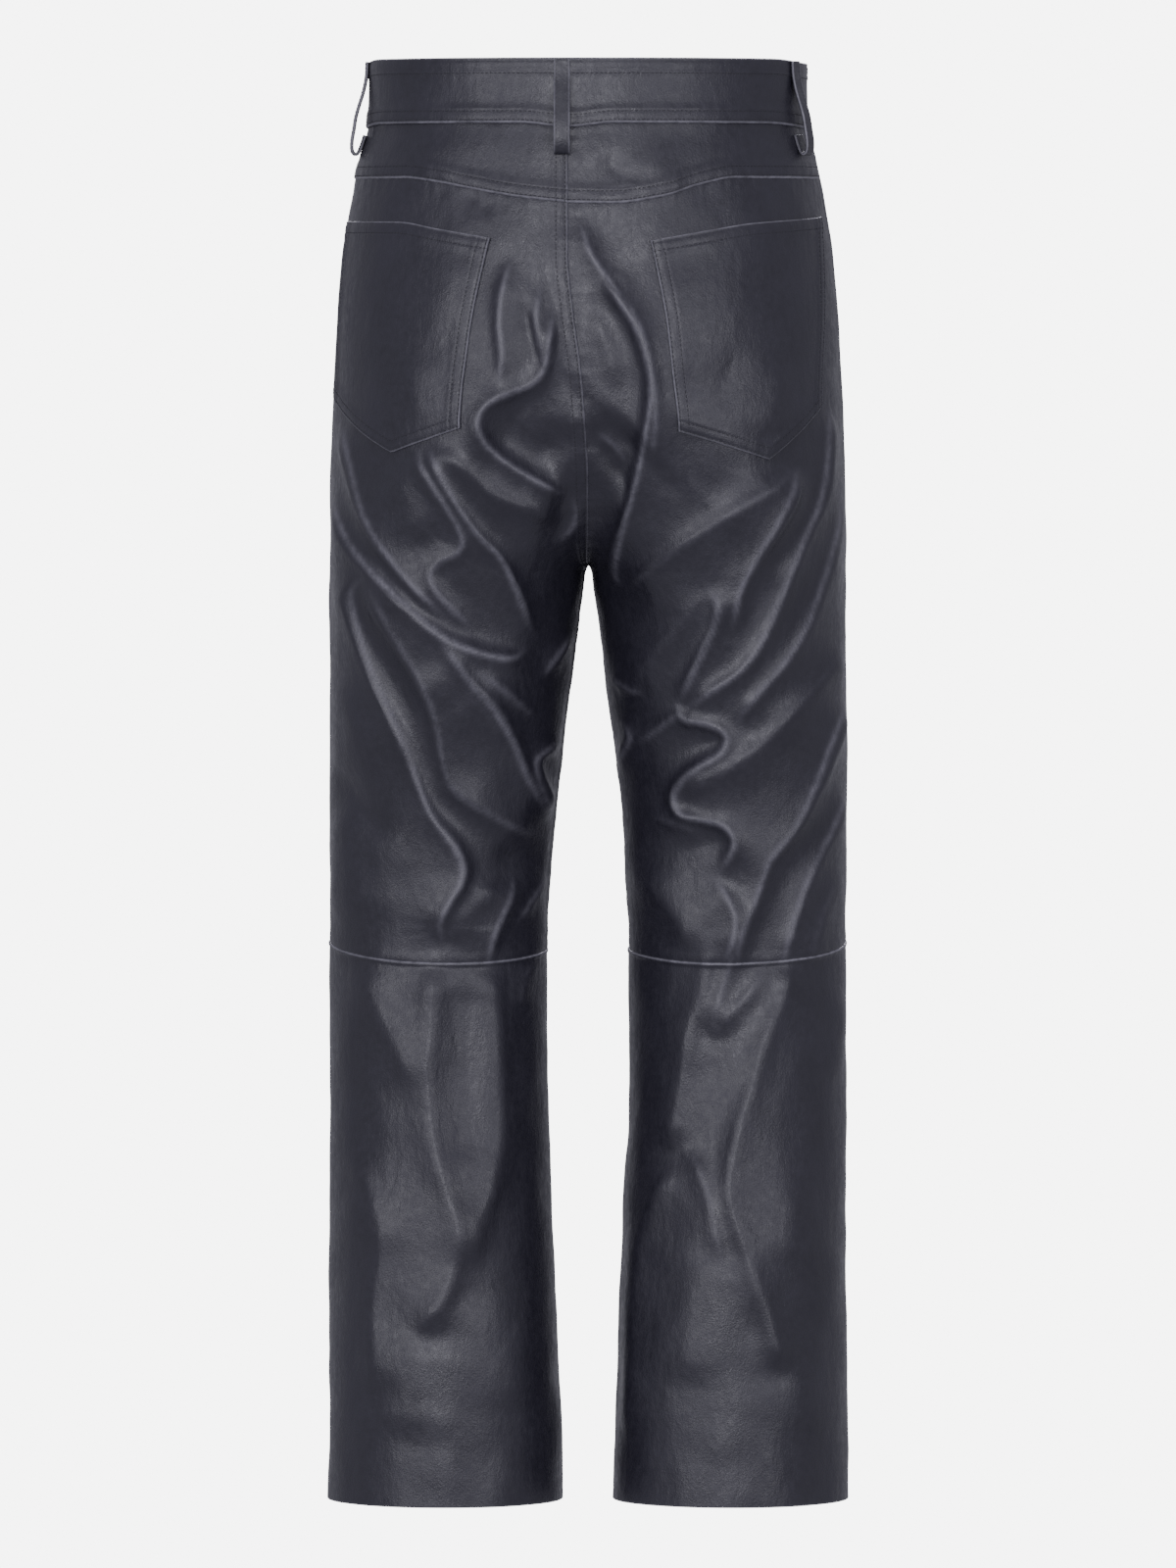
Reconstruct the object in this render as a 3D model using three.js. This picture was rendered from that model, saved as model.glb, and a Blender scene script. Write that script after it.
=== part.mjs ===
// Straight-leg leather trousers, hollow and filled out as if worn.
// Millimetres, +Z up. The back faces -Y, +X is the wearer's right, and the origin is the middle of
// the waist opening. "down" is a distance below the waistband's top edge at the centre back.
import * as THREE from "three";

// Driving sizes
const BAND_HEIGHT = 46;
const BAND_WALL = 3;
const BAND_PROUD = 1;
const CLOTH_WALL = 1.5;
const SEAM_GAP = 0.3;
const LAY_GAP = 1;
const CROTCH_DOWN = 361;
const HEM_DOWN = 1034;
const FRONT_DIP = 6;

// How far above the crotch the seat seam and the front seam start to curve under
const SEAT_CURVE = 132;
const FLY_CURVE = 104;
const BRIDGE = 30;

// Grid counts of the panels
const BACK_COLUMNS = 18;
const FRONT_COLUMNS = 8;
const YOKE_ROWS = 4;
const UPPER_ROWS = 38;
const CROTCH_ROW = 21;
const LOWER_ROWS = 19;
const ARC_STEPS = 90;

const LEFT = -1;
const RIGHT = 1;

// A table with named columns, one row for each line of numbers
function table(columns, lines) {
  return lines.map((line) => Object.fromEntries(columns.map((name, i) => [name, line[i]])));
}

const clamp = (v, low, high) => Math.min(high, Math.max(low, v));
const mix = (a, b, t) => a + (b - a) * t;
const smooth = (t) => clamp(t, 0, 1) ** 2 * (3 - 2 * clamp(t, 0, 1));

// A curve through a table's rows that doesn't overshoot between them, and is level past its ends
function curve(rows, column, along = "down") {
  const n = rows.length;
  const secant = (i) => (rows[i + 1][column] - rows[i][column]) / (rows[i + 1][along] - rows[i][along]);
  const slope = rows.map((row, i) => {
    if (i === 0 || i === n - 1) return secant(Math.min(i, n - 2));
    const before = secant(i - 1);
    const after = secant(i);
    return before * after <= 0 ? 0 : (2 * before * after) / (before + after);
  });
  return (v) => {
    const x = clamp(v, rows[0][along], rows[n - 1][along]);
    let i = 0;
    while (i < n - 2 && x > rows[i + 1][along]) i += 1;
    const span = rows[i + 1][along] - rows[i][along];
    const t = (x - rows[i][along]) / span;
    const bend = t * (1 - t) * span * (slope[i] * (1 - t) - slope[i + 1] * t);
    return mix(rows[i][column], rows[i + 1][column], smooth(t)) + bend;
  };
}

// Level sections of one half, from the waist to the hem. half_width reaches the outer edge, gap is
// half the space between the legs, leg_middle is where the section is deepest, and back and front
// are its depths from centre_y.
const SECTIONS = table(
  ["down", "half_width", "gap", "leg_middle", "back", "front", "centre_y"],
  [
    [0, 156, 0, 12, 112, 108, 0],
    [47, 157.5, 0, 18, 115, 110, 0],
    [69, 163.5, 0, 22, 118, 112, 0],
    [100, 169.5, 0, 28, 122, 113, 0],
    [140, 176, 0, 38, 127, 113, 0],
    [196, 181, 0, 52, 131, 112, 0],
    [250, 183.6, 0, 66, 131, 111, 0],
    [310, 185, 0, 80, 122, 108, 0],
    [361, 185.8, 0, 93, 110, 105, 0],
    [366, 185.8, 2.6, 94, 109, 105, 0],
    [380, 185.9, 4, 95, 106, 104, 0.5],
    [400, 186, 7, 96.5, 102, 102, 1],
    [464, 186, 15, 100.5, 92, 98, 3],
    [549, 186, 24.5, 105, 81, 92, 5],
    [633, 186, 29.6, 108, 75, 86, 5],
    [718, 186, 29.3, 107.7, 76, 80, 2],
    [845, 186, 25, 105.5, 80, 78, -4],
    [972, 186.5, 19.7, 103, 82, 78, -8],
    [1034, 187.5, 17.6, 102.5, 82, 78, -9],
  ],
);
const halfWidth = curve(SECTIONS, "half_width");
const gap = curve(SECTIONS, "gap");
const legMiddle = curve(SECTIONS, "leg_middle");
const backDepth = curve(SECTIONS, "back");
const frontDepth = curve(SECTIONS, "front");
const centreY = curve(SECTIONS, "centre_y");

// The hips are turned a little: how far round the body the middle and the side seams have moved
const TURN = table(
  ["down", "middle", "side"],
  [
    [0, 14.5, 17],
    [137, 14.5, 17],
    [185, 10, 17],
    [218, 5.6, 17],
    [252, 2.6, 16],
    [300, 0, 13],
    [420, 0, 0],
  ],
);
const middleTurn = curve(TURN, "middle");
const sideTurn = curve(TURN, "side");

// Folds of the back as it shows, each a curve through three places. x is from the middle, rise is
// the height of its crest, and left and right are how far it falls away on either side of the way
// from its start to its end.
const FOLD_COLUMNS = ["x0", "down0", "x1", "down1", "x2", "down2", "rise", "left", "right"];
const BACK_FOLDS = table(FOLD_COLUMNS, [
  [-182, 316, -150, 373, -98, 414, 5.5, 15, 10],
  [-100, 413, -70, 430, -44, 421, 5, 12, 9],
  [-42, 420, -52, 368, -106, 298, 3.5, 13, 10],
  [-116, 293, -99, 320, -92, 346, 3, 9, 8],
  [-93, 349, -113, 368, -83, 405, 3, 9, 8],
  [-168, 295, -143, 348, -101, 396, 2.6, 10, 9],
  [-138, 290, -125, 317, -112, 346, 3, 15, 12],
  [-172, 381, -149, 446, -127, 504, 4, 9, 11],
  [-130, 497, -118, 532, -93, 572, 4, 9, 12],
  [-92, 572, -107, 604, -101, 638, 3.5, 10, 9],
  [-91, 424, -62, 468, -46, 505, 3.2, 11, 9],
  [-99, 295, -60, 318, -12, 332, 4.5, 12, 9],
  [-88, 530, -55, 545, -36, 558, 2.4, 13, 11],
  [-76, 588, -54, 602, -40, 622, 3.4, 18, 16],
  [-47, 143, -42, 200, -36, 256, 1.8, 10, 10],
  [-76, 248, -68, 276, -34, 302, 2.6, 10, 9],
  [-150, 560, -136, 596, -130, 636, 2.2, 10, 10],
  [3, 136, 33, 188, 43, 234, 2.8, 10, 9],
  [43, 228, 38, 288, 23, 352, 3.6, 9, 11],
  [24, 346, 16, 370, 29, 389, 3.2, 9, 8],
  [150, 296, 90, 333, 28, 376, 3.6, 10, 14],
  [149, 295, 138, 334, 104, 382, 3, 9, 10],
  [166, 293, 160, 340, 137, 385, 3.8, 10, 10],
  [140, 380, 112, 426, 67, 464, 4.6, 11, 12],
  [181, 333, 158, 406, 98, 481, 3.8, 10, 12],
  [87, 376, 93, 400, 66, 456, 3.6, 9, 10],
  [64, 458, 78, 473, 98, 481, 3.6, 9, 9],
  [99, 480, 84, 503, 61, 524, 3.6, 10, 10],
  [60, 526, 77, 543, 99, 546, 3.6, 9, 10],
  [103, 549, 102, 568, 85, 587, 3.4, 10, 10],
  [87, 588, 106, 612, 85, 642, 3.4, 10, 10],
  [14, 440, 28, 452, 44, 451, 2.4, 10, 12],
  [169, 504, 140, 563, 101, 646, 3.8, 10, 10],
  [183, 528, 162, 575, 122, 638, 3.2, 9, 10],
  [118, 250, 128, 262, 140, 284, 2, 14, 12],
  [40, 560, 48, 590, 46, 622, 2, 12, 12],
  [-107, 654, -112, 692, -121, 734, 2.4, 10, 12],
  [-64, 654, -62, 704, -68, 764, 2.4, 12, 12],
  [-121, 730, -108, 795, -96, 842, 3, 11, 12],
  [-96, 838, -98, 886, -126, 915, 3, 11, 12],
  [-150, 845, -155, 884, -147, 920, 2.2, 10, 10],
  [-70, 900, -66, 940, -72, 985, 1.8, 14, 14],
  [85, 654, 75, 698, 69, 748, 2.6, 12, 12],
  [121, 652, 111, 694, 110, 742, 2.2, 10, 12],
  [114, 770, 98, 806, 116, 858, 3, 11, 11],
  [115, 852, 130, 900, 146, 962, 2.8, 11, 12],
  [62, 772, 84, 802, 89, 850, 2.8, 10, 11],
  [48, 833, 35, 866, 31, 909, 2, 9, 10],
  [75, 900, 78, 940, 72, 985, 1.8, 14, 14],
]);

// The front hangs plainer: drag lines from the crotch, breaks at the knee and soft shin folds
const FRONT_FOLDS = table(FOLD_COLUMNS, [
  [-16, 330, -62, 318, -122, 282, 3, 10, 12],
  [-20, 366, -74, 372, -136, 344, 3, 10, 12],
  [-58, 420, -96, 436, -150, 424, 2.6, 11, 12],
  [-62, 520, -98, 540, -140, 530, 2.4, 12, 12],
  [-66, 596, -104, 614, -144, 606, 3, 12, 14],
  [-76, 668, -106, 676, -140, 664, 2.6, 12, 12],
  [-84, 730, -98, 800, -92, 880, 2.4, 13, 13],
  [-128, 800, -120, 870, -126, 950, 2.2, 13, 13],
  [18, 326, 66, 316, 118, 288, 3.2, 10, 12],
  [20, 362, 70, 376, 142, 352, 2.8, 10, 12],
  [52, 430, 94, 446, 152, 428, 2.8, 11, 12],
  [66, 508, 104, 530, 146, 522, 2.4, 12, 12],
  [64, 602, 100, 616, 138, 600, 3, 12, 14],
  [80, 664, 108, 674, 146, 670, 2.4, 12, 12],
  [88, 740, 96, 812, 90, 890, 2.4, 13, 13],
  [130, 790, 122, 866, 130, 944, 2.2, 13, 13],
]);

// Each fold as short straight pieces along its curve
const FOLD_STEPS = 12;
function foldPath(row) {
  const path = [];
  for (let i = 0; i <= FOLD_STEPS; i += 1) {
    const t = i / FOLD_STEPS;
    const near = 2 * (t - 0.5) * (t - 1);
    const mid = 4 * t * (1 - t);
    const far = 2 * t * (t - 0.5);
    path.push([
      row.x0 * near + row.x1 * mid + row.x2 * far,
      row.down0 * near + row.down1 * mid + row.down2 * far,
    ]);
  }
  return { ...row, path };
}
const backFolds = BACK_FOLDS.map(foldPath);
const frontFolds = FRONT_FOLDS.map(foldPath);

// Height of the cloth above its plain form at a place seen square on
function foldHeight(folds, x, down) {
  let height = 0;
  for (const fold of folds) {
    const reach = 3 * Math.max(fold.left, fold.right);
    let best = reach;
    let place = 0;
    let side = 1;
    for (let i = 0; i < FOLD_STEPS; i += 1) {
      const [ax, ad] = fold.path[i];
      const [bx, bd] = fold.path[i + 1];
      const ux = bx - ax;
      const ud = bd - ad;
      const t = clamp(((x - ax) * ux + (down - ad) * ud) / (ux * ux + ud * ud), 0, 1);
      const distance = Math.hypot(x - ax - ux * t, down - ad - ud * t);
      if (distance < best) {
        best = distance;
        place = (i + t) / FOLD_STEPS;
        side = Math.sign(ux * (down - ad) - ud * (x - ax));
      }
    }
    if (best >= reach) continue;
    const fall = side > 0 ? fold.left : fold.right;
    const ends = smooth(place / 0.22) * smooth((1 - place) / 0.22);
    height += fold.rise * ends * Math.exp(-((best / fall) ** 2));
  }
  return height;
}

// One level half section as points from its widest place round the back or the front to the middle
const sectionCache = new Map();
function section(down, back) {
  const key = `${back} ${down.toFixed(4)}`;
  if (sectionCache.has(key)) return sectionCache.get(key);
  const width = halfWidth(down);
  const middle = legMiddle(down);
  const depth = back ? -backDepth(down) : frontDepth(down);
  const y0 = centreY(down);
  const share = clamp((CROTCH_DOWN - down) / (back ? SEAT_CURVE : FLY_CURVE), 0, 1);
  const inner = down < CROTCH_DOWN ? 0 : gap(down);
  const soft = BRIDGE * share ** 0.7;
  const points = [];
  for (let i = 0; i <= ARC_STEPS; i += 1) {
    const angle = (i / ARC_STEPS) * (Math.PI / 2);
    points.push([middle + (width - middle) * Math.cos(angle), y0 + depth * Math.sin(angle)]);
  }
  for (let i = 1; i <= ARC_STEPS; i += 1) {
    const angle = (i / ARC_STEPS) * (Math.PI / 2);
    const x = middle - (middle - inner) * Math.sin(angle);
    const reach = share > 0 ? (middle - Math.hypot(x, soft)) / middle : Math.sin(angle);
    const narrow = clamp(reach * (1 - share), 0, 1);
    points.push([x, y0 + depth * Math.sqrt(1 - narrow * narrow)]);
  }
  const lengths = [0];
  for (let i = 1; i < points.length; i += 1) {
    const [ax, ay] = points[i - 1];
    const [bx, by] = points[i];
    lengths.push(lengths[i - 1] + Math.hypot(bx - ax, by - ay));
  }
  const made = { points, lengths, length: lengths[lengths.length - 1] };
  sectionCache.set(key, made);
  return made;
}

function alongSection(made, arc) {
  const { points, lengths } = made;
  let low = 0;
  let high = lengths.length - 1;
  while (high - low > 1) {
    const half = (low + high) >> 1;
    if (lengths[half] > arc) high = half;
    else low = half;
  }
  const t = clamp((arc - lengths[low]) / (lengths[high] - lengths[low]), 0, 1);
  return [mix(points[low][0], points[high][0], t), mix(points[low][1], points[high][1], t)];
}

// A place on the plain form. arc runs round from the widest place, to the back where it is positive
// and to the front where it is negative, and past the middle onto the other half.
function plainPoint(side, arc, down) {
  const made = section(down, arc >= 0);
  const over = Math.abs(arc) > made.length;
  const [x, y] = alongSection(made, over ? 2 * made.length - Math.abs(arc) : Math.abs(arc));
  return [side * (over ? -x : x), y];
}

// The same place with its folds raised
const NORMAL_STEP = 3;
function clothPoint(side, arc, down) {
  const [x, y] = plainPoint(side, arc, down);
  const limit = section(down, arc >= 0).length;
  const from = plainPoint(side, Math.max(arc - NORMAL_STEP, -limit), down);
  const to = plainPoint(side, Math.min(arc + NORMAL_STEP, limit), down);
  const length = Math.hypot(to[0] - from[0], to[1] - from[1]) || 1;
  const nx = (side * (from[1] - to[1])) / length;
  const ny = (side * (to[0] - from[0])) / length;
  const back = ny < 0;
  const facing = smooth((Math.abs(ny) - 0.12) / 0.4);
  const height = facing * foldHeight(back ? backFolds : frontFolds, x, down);
  return new THREE.Vector3(x + nx * height, y + ny * height, BAND_HEIGHT / 2 - down);
}

// The panels' own measure: "in" is the distance from the side seam towards the middle
const backLength = (side, down) => section(down, true).length + side * (middleTurn(down) - sideTurn(down));
const frontLength = (side, down) => section(down, false).length - side * (middleTurn(down) - sideTurn(down));
const backPoint = (side, inwards, down) => clothPoint(side, inwards + side * sideTurn(down), down);
const frontPoint = (side, inwards, down) => clothPoint(side, side * sideTurn(down) - inwards, down);

// Seams that run across, as a distance down for a share of the panel from the middle to the side
const YOKE = table(
  ["share", "left", "right"],
  [
    [0, 102.5, 102.5],
    [0.14, 99, 103],
    [0.3, 93, 98],
    [0.42, 88, 90],
    [0.55, 85, 85],
    [1, 85, 85],
  ],
);
const yokeLeft = curve(YOKE, "left", "share");
const yokeRight = curve(YOKE, "right", "share");
const yokeSeam = (side, share) => (side === LEFT ? yokeLeft(share) : yokeRight(share));
const bandSeam = (share) => BAND_HEIGHT + 3 * (1 - smooth(share / 0.16)) + 3 * smooth((share - 0.7) / 0.3);
const frontSeam = (share) => bandSeam(1) + FRONT_DIP * smooth(1 - share);
const bandTopBack = (share) => 2.5 * smooth((share - 0.75) / 0.25);
const bandTopFront = (share) => bandTopBack(1) + FRONT_DIP * smooth(1 - share);
const KNEE_INNER = 638;
const KNEE_OUTER = 633;
const KNEE_DIP = 10;
const kneeBack = (share) => mix(KNEE_INNER, KNEE_OUTER, share) + KNEE_DIP * Math.sin(Math.PI * share);
const kneeFront = (share) => mix(KNEE_INNER, KNEE_OUTER, share) - 4 * Math.sin(Math.PI * share);

// Rows along the middle seam are evenly spaced on its curve down to the crotch, then down the inseam
function evenRows(back, from, count) {
  const steps = 1500;
  const downs = [];
  const lengths = [0];
  let last = null;
  for (let i = 0; i <= steps; i += 1) {
    const down = CROTCH_DOWN - (CROTCH_DOWN - from) * (1 - i / steps) ** 2;
    const end = section(down, back).points[2 * ARC_STEPS];
    if (last) lengths.push(lengths[i - 1] + Math.hypot(end[1] - last[1], down - last[0]));
    last = [down, end[1]];
    downs.push(down);
  }
  sectionCache.clear();
  const rows = [];
  let i = 0;
  for (let row = 0; row < count; row += 1) {
    while (lengths[i] < (lengths[steps] * row) / count) i += 1;
    rows.push(downs[i]);
  }
  return rows;
}

const rowsBelowCrotch = UPPER_ROWS - CROTCH_ROW;
const inseamRows = Array.from({ length: rowsBelowCrotch + 1 }, (_, i) =>
  mix(CROTCH_DOWN, KNEE_INNER, i / rowsBelowCrotch));

// How far down a panel each of its rows lies at either edge, as a share of the way to the knee seam
function rowShares(middleRows, top, crotchAt, count) {
  const inner = [...middleRows, ...inseamRows].map((down) => (down - top) / (KNEE_INNER - top));
  const outer = Array.from({ length: count + 1 }, (_, i) => i / count);
  const bend = outer.map((_, i) => 1 + 2 * Math.exp(-(((i - crotchAt) / 5) ** 2)));
  return { inner, outer, bend };
}

// A panel from the top seam to the knee seam. Columns run from the middle out to the side seam.
function upperGrid(columns, shares, topSeam, lengthAt, pointAt, kneeSeam) {
  const grid = [];
  for (let row = 0; row < shares.inner.length; row += 1) {
    const reach = lengthAt(mix(topSeam(0), kneeSeam(0), shares.inner[row]));
    const line = [];
    for (let column = 0; column <= columns; column += 1) {
      const share = column / columns;
      const lean = 1 - (1 - share) ** shares.bend[row];
      const way = mix(shares.inner[row], shares.outer[row], lean);
      const down = mix(topSeam(share), kneeSeam(share), way);
      line.push(pointAt((1 - share) * reach, down));
    }
    grid.push(line);
  }
  return grid;
}

// A plain panel between two cross seams
function bandGrid(columns, rows, topSeam, bottomSeam, lengthAt, pointAt) {
  const grid = [];
  for (let row = 0; row <= rows; row += 1) {
    const reach = lengthAt(mix(topSeam(0), bottomSeam(0), row / rows));
    const line = [];
    for (let column = 0; column <= columns; column += 1) {
      const share = column / columns;
      const down = mix(topSeam(share), bottomSeam(share), row / rows);
      line.push(pointAt((1 - share) * reach, down));
    }
    grid.push(line);
  }
  return grid;
}

const LEATHER = { colour: "#3d4147" };
const METAL = { colour: "#8f8a80", roughness: 0.35, metalness: 1 };
const TAPE = { colour: "#1c1d20", roughness: 0.9 };

// Normals are shared wherever two panels meet, so that both walls end flush at a seam
const pointKey = (p) => `${p.x.toFixed(2)} ${p.y.toFixed(2)} ${p.z.toFixed(2)}`;
const sharedNormals = new Map();
function addNormals(grid, outward) {
  for (let row = 0; row + 1 < grid.length; row += 1) {
    for (let column = 0; column + 1 < grid[row].length; column += 1) {
      const corners = [grid[row][column], grid[row + 1][column], grid[row + 1][column + 1], grid[row][column + 1]];
      const across = corners[2].clone().sub(corners[0]);
      const along = corners[3].clone().sub(corners[1]);
      const normal = across.cross(along).multiplyScalar(outward);
      for (const corner of corners) {
        const key = pointKey(corner);
        if (!sharedNormals.has(key)) sharedNormals.set(key, new THREE.Vector3());
        sharedNormals.get(key).add(normal);
      }
    }
  }
}
const normalAt = (point) => sharedNormals.get(pointKey(point)).clone().normalize();

// A closed wall between two grids of points, with its four rims
function wallGeometry(outer, inner) {
  const rows = outer.length;
  const columns = outer[0].length;
  const positions = [];
  for (const grid of [outer, inner]) {
    for (const line of grid) for (const p of line) positions.push(p.x, p.y, p.z);
  }
  const index = [];
  const at = (layer, row, column) => (layer * rows + row) * columns + column;
  const quad = (a, b, c, d) => index.push(a, b, c, a, c, d);
  for (let row = 0; row + 1 < rows; row += 1) {
    for (let column = 0; column + 1 < columns; column += 1) {
      const corner = [[row, column], [row + 1, column], [row + 1, column + 1], [row, column + 1]];
      const shorter = outer[row][column].distanceTo(outer[row + 1][column + 1])
        <= outer[row + 1][column].distanceTo(outer[row][column + 1]) ? 0 : 1;
      const turned = corner.map((_, i) => corner[(i + shorter) % 4]);
      quad(...turned.map(([r, c]) => at(0, r, c)));
      quad(...turned.reverse().map(([r, c]) => at(1, r, c)));
    }
  }
  for (let row = 0; row + 1 < rows; row += 1) {
    quad(at(0, row, 0), at(1, row, 0), at(1, row + 1, 0), at(0, row + 1, 0));
    const last = columns - 1;
    quad(at(0, row + 1, last), at(1, row + 1, last), at(1, row, last), at(0, row, last));
  }
  for (let column = 0; column + 1 < columns; column += 1) {
    quad(at(0, 0, column + 1), at(1, 0, column + 1), at(1, 0, column), at(0, 0, column));
    const last = rows - 1;
    quad(at(0, last, column), at(1, last, column), at(1, last, column + 1), at(0, last, column + 1));
  }
  return closedGeometry(positions, index);
}

// A geometry that faces outwards, whichever way its triangles were listed
function closedGeometry(positions, index) {
  let volume = 0;
  const corner = (i) => new THREE.Vector3().fromArray(positions, index[i] * 3);
  for (let i = 0; i < index.length; i += 3) {
    volume += corner(i).dot(corner(i + 1).cross(corner(i + 2)));
  }
  if (volume < 0) {
    for (let i = 0; i < index.length; i += 3) [index[i], index[i + 1]] = [index[i + 1], index[i]];
  }
  const geometry = new THREE.BufferGeometry();
  geometry.setAttribute("position", new THREE.Float32BufferAttribute(positions, 3));
  geometry.setIndex(index);
  geometry.computeVertexNormals();
  return geometry;
}

// Edges that meet a neighbour are drawn back by half the seam gap, square to the seam
function drawBack(grid, normals, edges) {
  const rows = grid.length;
  const columns = grid[0].length;
  const moved = grid.map((line) => line.map((p) => p.clone()));
  const pull = (row, column, alongA, alongB, into) => {
    const normal = normals[row][column];
    const tangent = grid[alongA[0]][alongA[1]].clone().sub(grid[alongB[0]][alongB[1]]);
    const square = normal.clone().cross(tangent).normalize();
    const inside = grid[into[0]][into[1]].clone().sub(grid[row][column]);
    moved[row][column].addScaledVector(square, Math.sign(square.dot(inside)) * SEAM_GAP * 0.5);
  };
  for (let row = 0; row < rows; row += 1) {
    const a = [Math.max(row - 1, 0), 0];
    const b = [Math.min(row + 1, rows - 1), 0];
    if (edges.first) pull(row, 0, a, b, [row, 1]);
    if (edges.last) pull(row, columns - 1, [a[0], columns - 1], [b[0], columns - 1], [row, columns - 2]);
  }
  for (let column = 0; column < columns; column += 1) {
    const a = Math.max(column - 1, 0);
    const b = Math.min(column + 1, columns - 1);
    if (edges.top) pull(0, column, [0, a], [0, b], [1, column]);
    if (edges.bottom) pull(rows - 1, column, [rows - 1, a], [rows - 1, b], [rows - 2, column]);
  }
  return moved;
}

// How far to move in for a full wall where neighbouring faces meet at an angle
function wallDepths(grid, normals, outward, wall) {
  const rows = grid.length;
  const columns = grid[0].length;
  const least = grid.map((line) => line.map(() => 1));
  for (let row = 0; row + 1 < rows; row += 1) {
    for (let column = 0; column + 1 < columns; column += 1) {
      const corners = [[row, column], [row + 1, column], [row + 1, column + 1], [row, column + 1]];
      const [a, b, c, d] = corners.map(([r, k]) => grid[r][k]);
      const face = c.clone().sub(a).cross(d.clone().sub(b)).multiplyScalar(outward).normalize();
      for (const [r, k] of corners) least[r][k] = Math.min(least[r][k], face.dot(normals[r][k]));
    }
  }
  return least.map((line) => line.map((cosine) => wall / Math.max(cosine, 0.6)));
}

// A piece of cloth whose outer face lies "lift" outside its grid
function clothMesh({ name, grid, outward, edges = {}, finish = LEATHER, lift = () => 0, wall = CLOTH_WALL }) {
  const normals = grid.map((line) => line.map(normalAt));
  const depths = wallDepths(grid, normals, outward, wall);
  const base = drawBack(grid, normals, edges);
  const shift = (amount) => base.map((line, row) =>
    line.map((p, column) => p.clone().addScaledVector(normals[row][column], amount(row, column))));
  const outer = shift((row, column) => lift(column));
  const inner = shift((row, column) => lift(column) - depths[row][column]);
  return piece(name, wallGeometry(outer, inner), finish);
}

function piece(name, geometry, { colour, roughness = 0.45, metalness = 0 }) {
  const material = new THREE.MeshStandardMaterial({ color: colour, roughness, metalness });
  const mesh = new THREE.Mesh(geometry, material);
  mesh.name = name;
  return mesh;
}

const group = new THREE.Group();
const panels = [];
const backMiddleRows = evenRows(true, yokeSeam(LEFT, 0), CROTCH_ROW);
const frontMiddleRows = evenRows(false, frontSeam(0), YOKE_ROWS + CROTCH_ROW);
const outerTop = (yokeSeam(LEFT, 1) - bandSeam(1)) / (KNEE_OUTER - bandSeam(1));

// Both halves, piece by piece, before any of them gets its wall
for (const side of [LEFT, RIGHT]) {
  const hand = side === LEFT ? "left" : "right";
  const outward = side;
  const back = { lengthAt: (down) => backLength(side, down), pointAt: (a, down) => backPoint(side, a, down) };
  const front = { lengthAt: (down) => frontLength(side, down), pointAt: (a, down) => frontPoint(side, a, down) };
  const yoke = (share) => yokeSeam(side, share);
  const backShares = rowShares(backMiddleRows, yoke(0), CROTCH_ROW, UPPER_ROWS);
  const frontRows = YOKE_ROWS + UPPER_ROWS;
  const frontShares = rowShares(frontMiddleRows, frontSeam(0), YOKE_ROWS + CROTCH_ROW, frontRows);
  frontShares.outer = frontShares.outer.map((_, i) => (i < YOKE_ROWS
    ? (outerTop * i) / YOKE_ROWS
    : mix(outerTop, 1, (i - YOKE_ROWS) / UPPER_ROWS)));
  const seams = { first: true, last: true, top: true, bottom: true };
  const hemmed = { first: true, last: true, top: true, bottom: false };
  const hem = () => HEM_DOWN;
  panels.push(
    {
      name: `yoke_${hand}`, outward, edges: seams,
      grid: bandGrid(BACK_COLUMNS, YOKE_ROWS, bandSeam, yoke, back.lengthAt, back.pointAt),
    },
    {
      name: `back_${hand}`, outward, edges: seams,
      grid: upperGrid(BACK_COLUMNS, backShares, yoke, back.lengthAt, back.pointAt, kneeBack),
    },
    {
      name: `back_${hand}_lower`, outward, edges: hemmed,
      grid: bandGrid(BACK_COLUMNS, LOWER_ROWS, kneeBack, hem, back.lengthAt, back.pointAt),
    },
    {
      name: `front_${hand}`, outward: -outward, edges: seams,
      grid: upperGrid(FRONT_COLUMNS, frontShares, frontSeam, front.lengthAt, front.pointAt, kneeFront),
    },
    {
      name: `front_${hand}_lower`, outward: -outward, edges: hemmed,
      grid: bandGrid(FRONT_COLUMNS, LOWER_ROWS, kneeFront, hem, front.lengthAt, front.pointAt),
    },
  );
}

// The waistband is one strip: from its upper end over the centre front, round the left side, the
// back and the right side, and down a step to the underlap beneath its own upper end
const OVERLAP = 4;
const STEP_FROM = 17;
const STEP_TO = 6.5;
const UNDERLAP = [12, 24, 36];
const underLift = BAND_PROUD - BAND_WALL - SEAM_GAP;
const BAND_ROWS = 3;
const bandColumns = [];
const frontReach = (side) => frontLength(side, frontSeam(0));
function frontColumn(side, share, lift) {
  const inwards = (1 - share) * frontReach(side);
  bandColumns.push({ lift, top: bandTopFront(share), seam: frontSeam(share), at: (d) => frontPoint(side, inwards, d) });
}
function backColumn(side, share) {
  const inwards = (1 - share) * backLength(side, bandSeam(0));
  const at = (down) => backPoint(side, inwards, down);
  bandColumns.push({ lift: BAND_PROUD, top: bandTopBack(share), seam: bandSeam(share), at });
}
frontColumn(RIGHT, OVERLAP / frontReach(RIGHT), BAND_PROUD);
for (let i = 0; i <= FRONT_COLUMNS; i += 1) frontColumn(LEFT, i / FRONT_COLUMNS, BAND_PROUD);
for (let i = BACK_COLUMNS - 1; i >= 0; i -= 1) backColumn(LEFT, i / BACK_COLUMNS);
for (let i = 1; i <= BACK_COLUMNS; i += 1) backColumn(RIGHT, i / BACK_COLUMNS);
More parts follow.
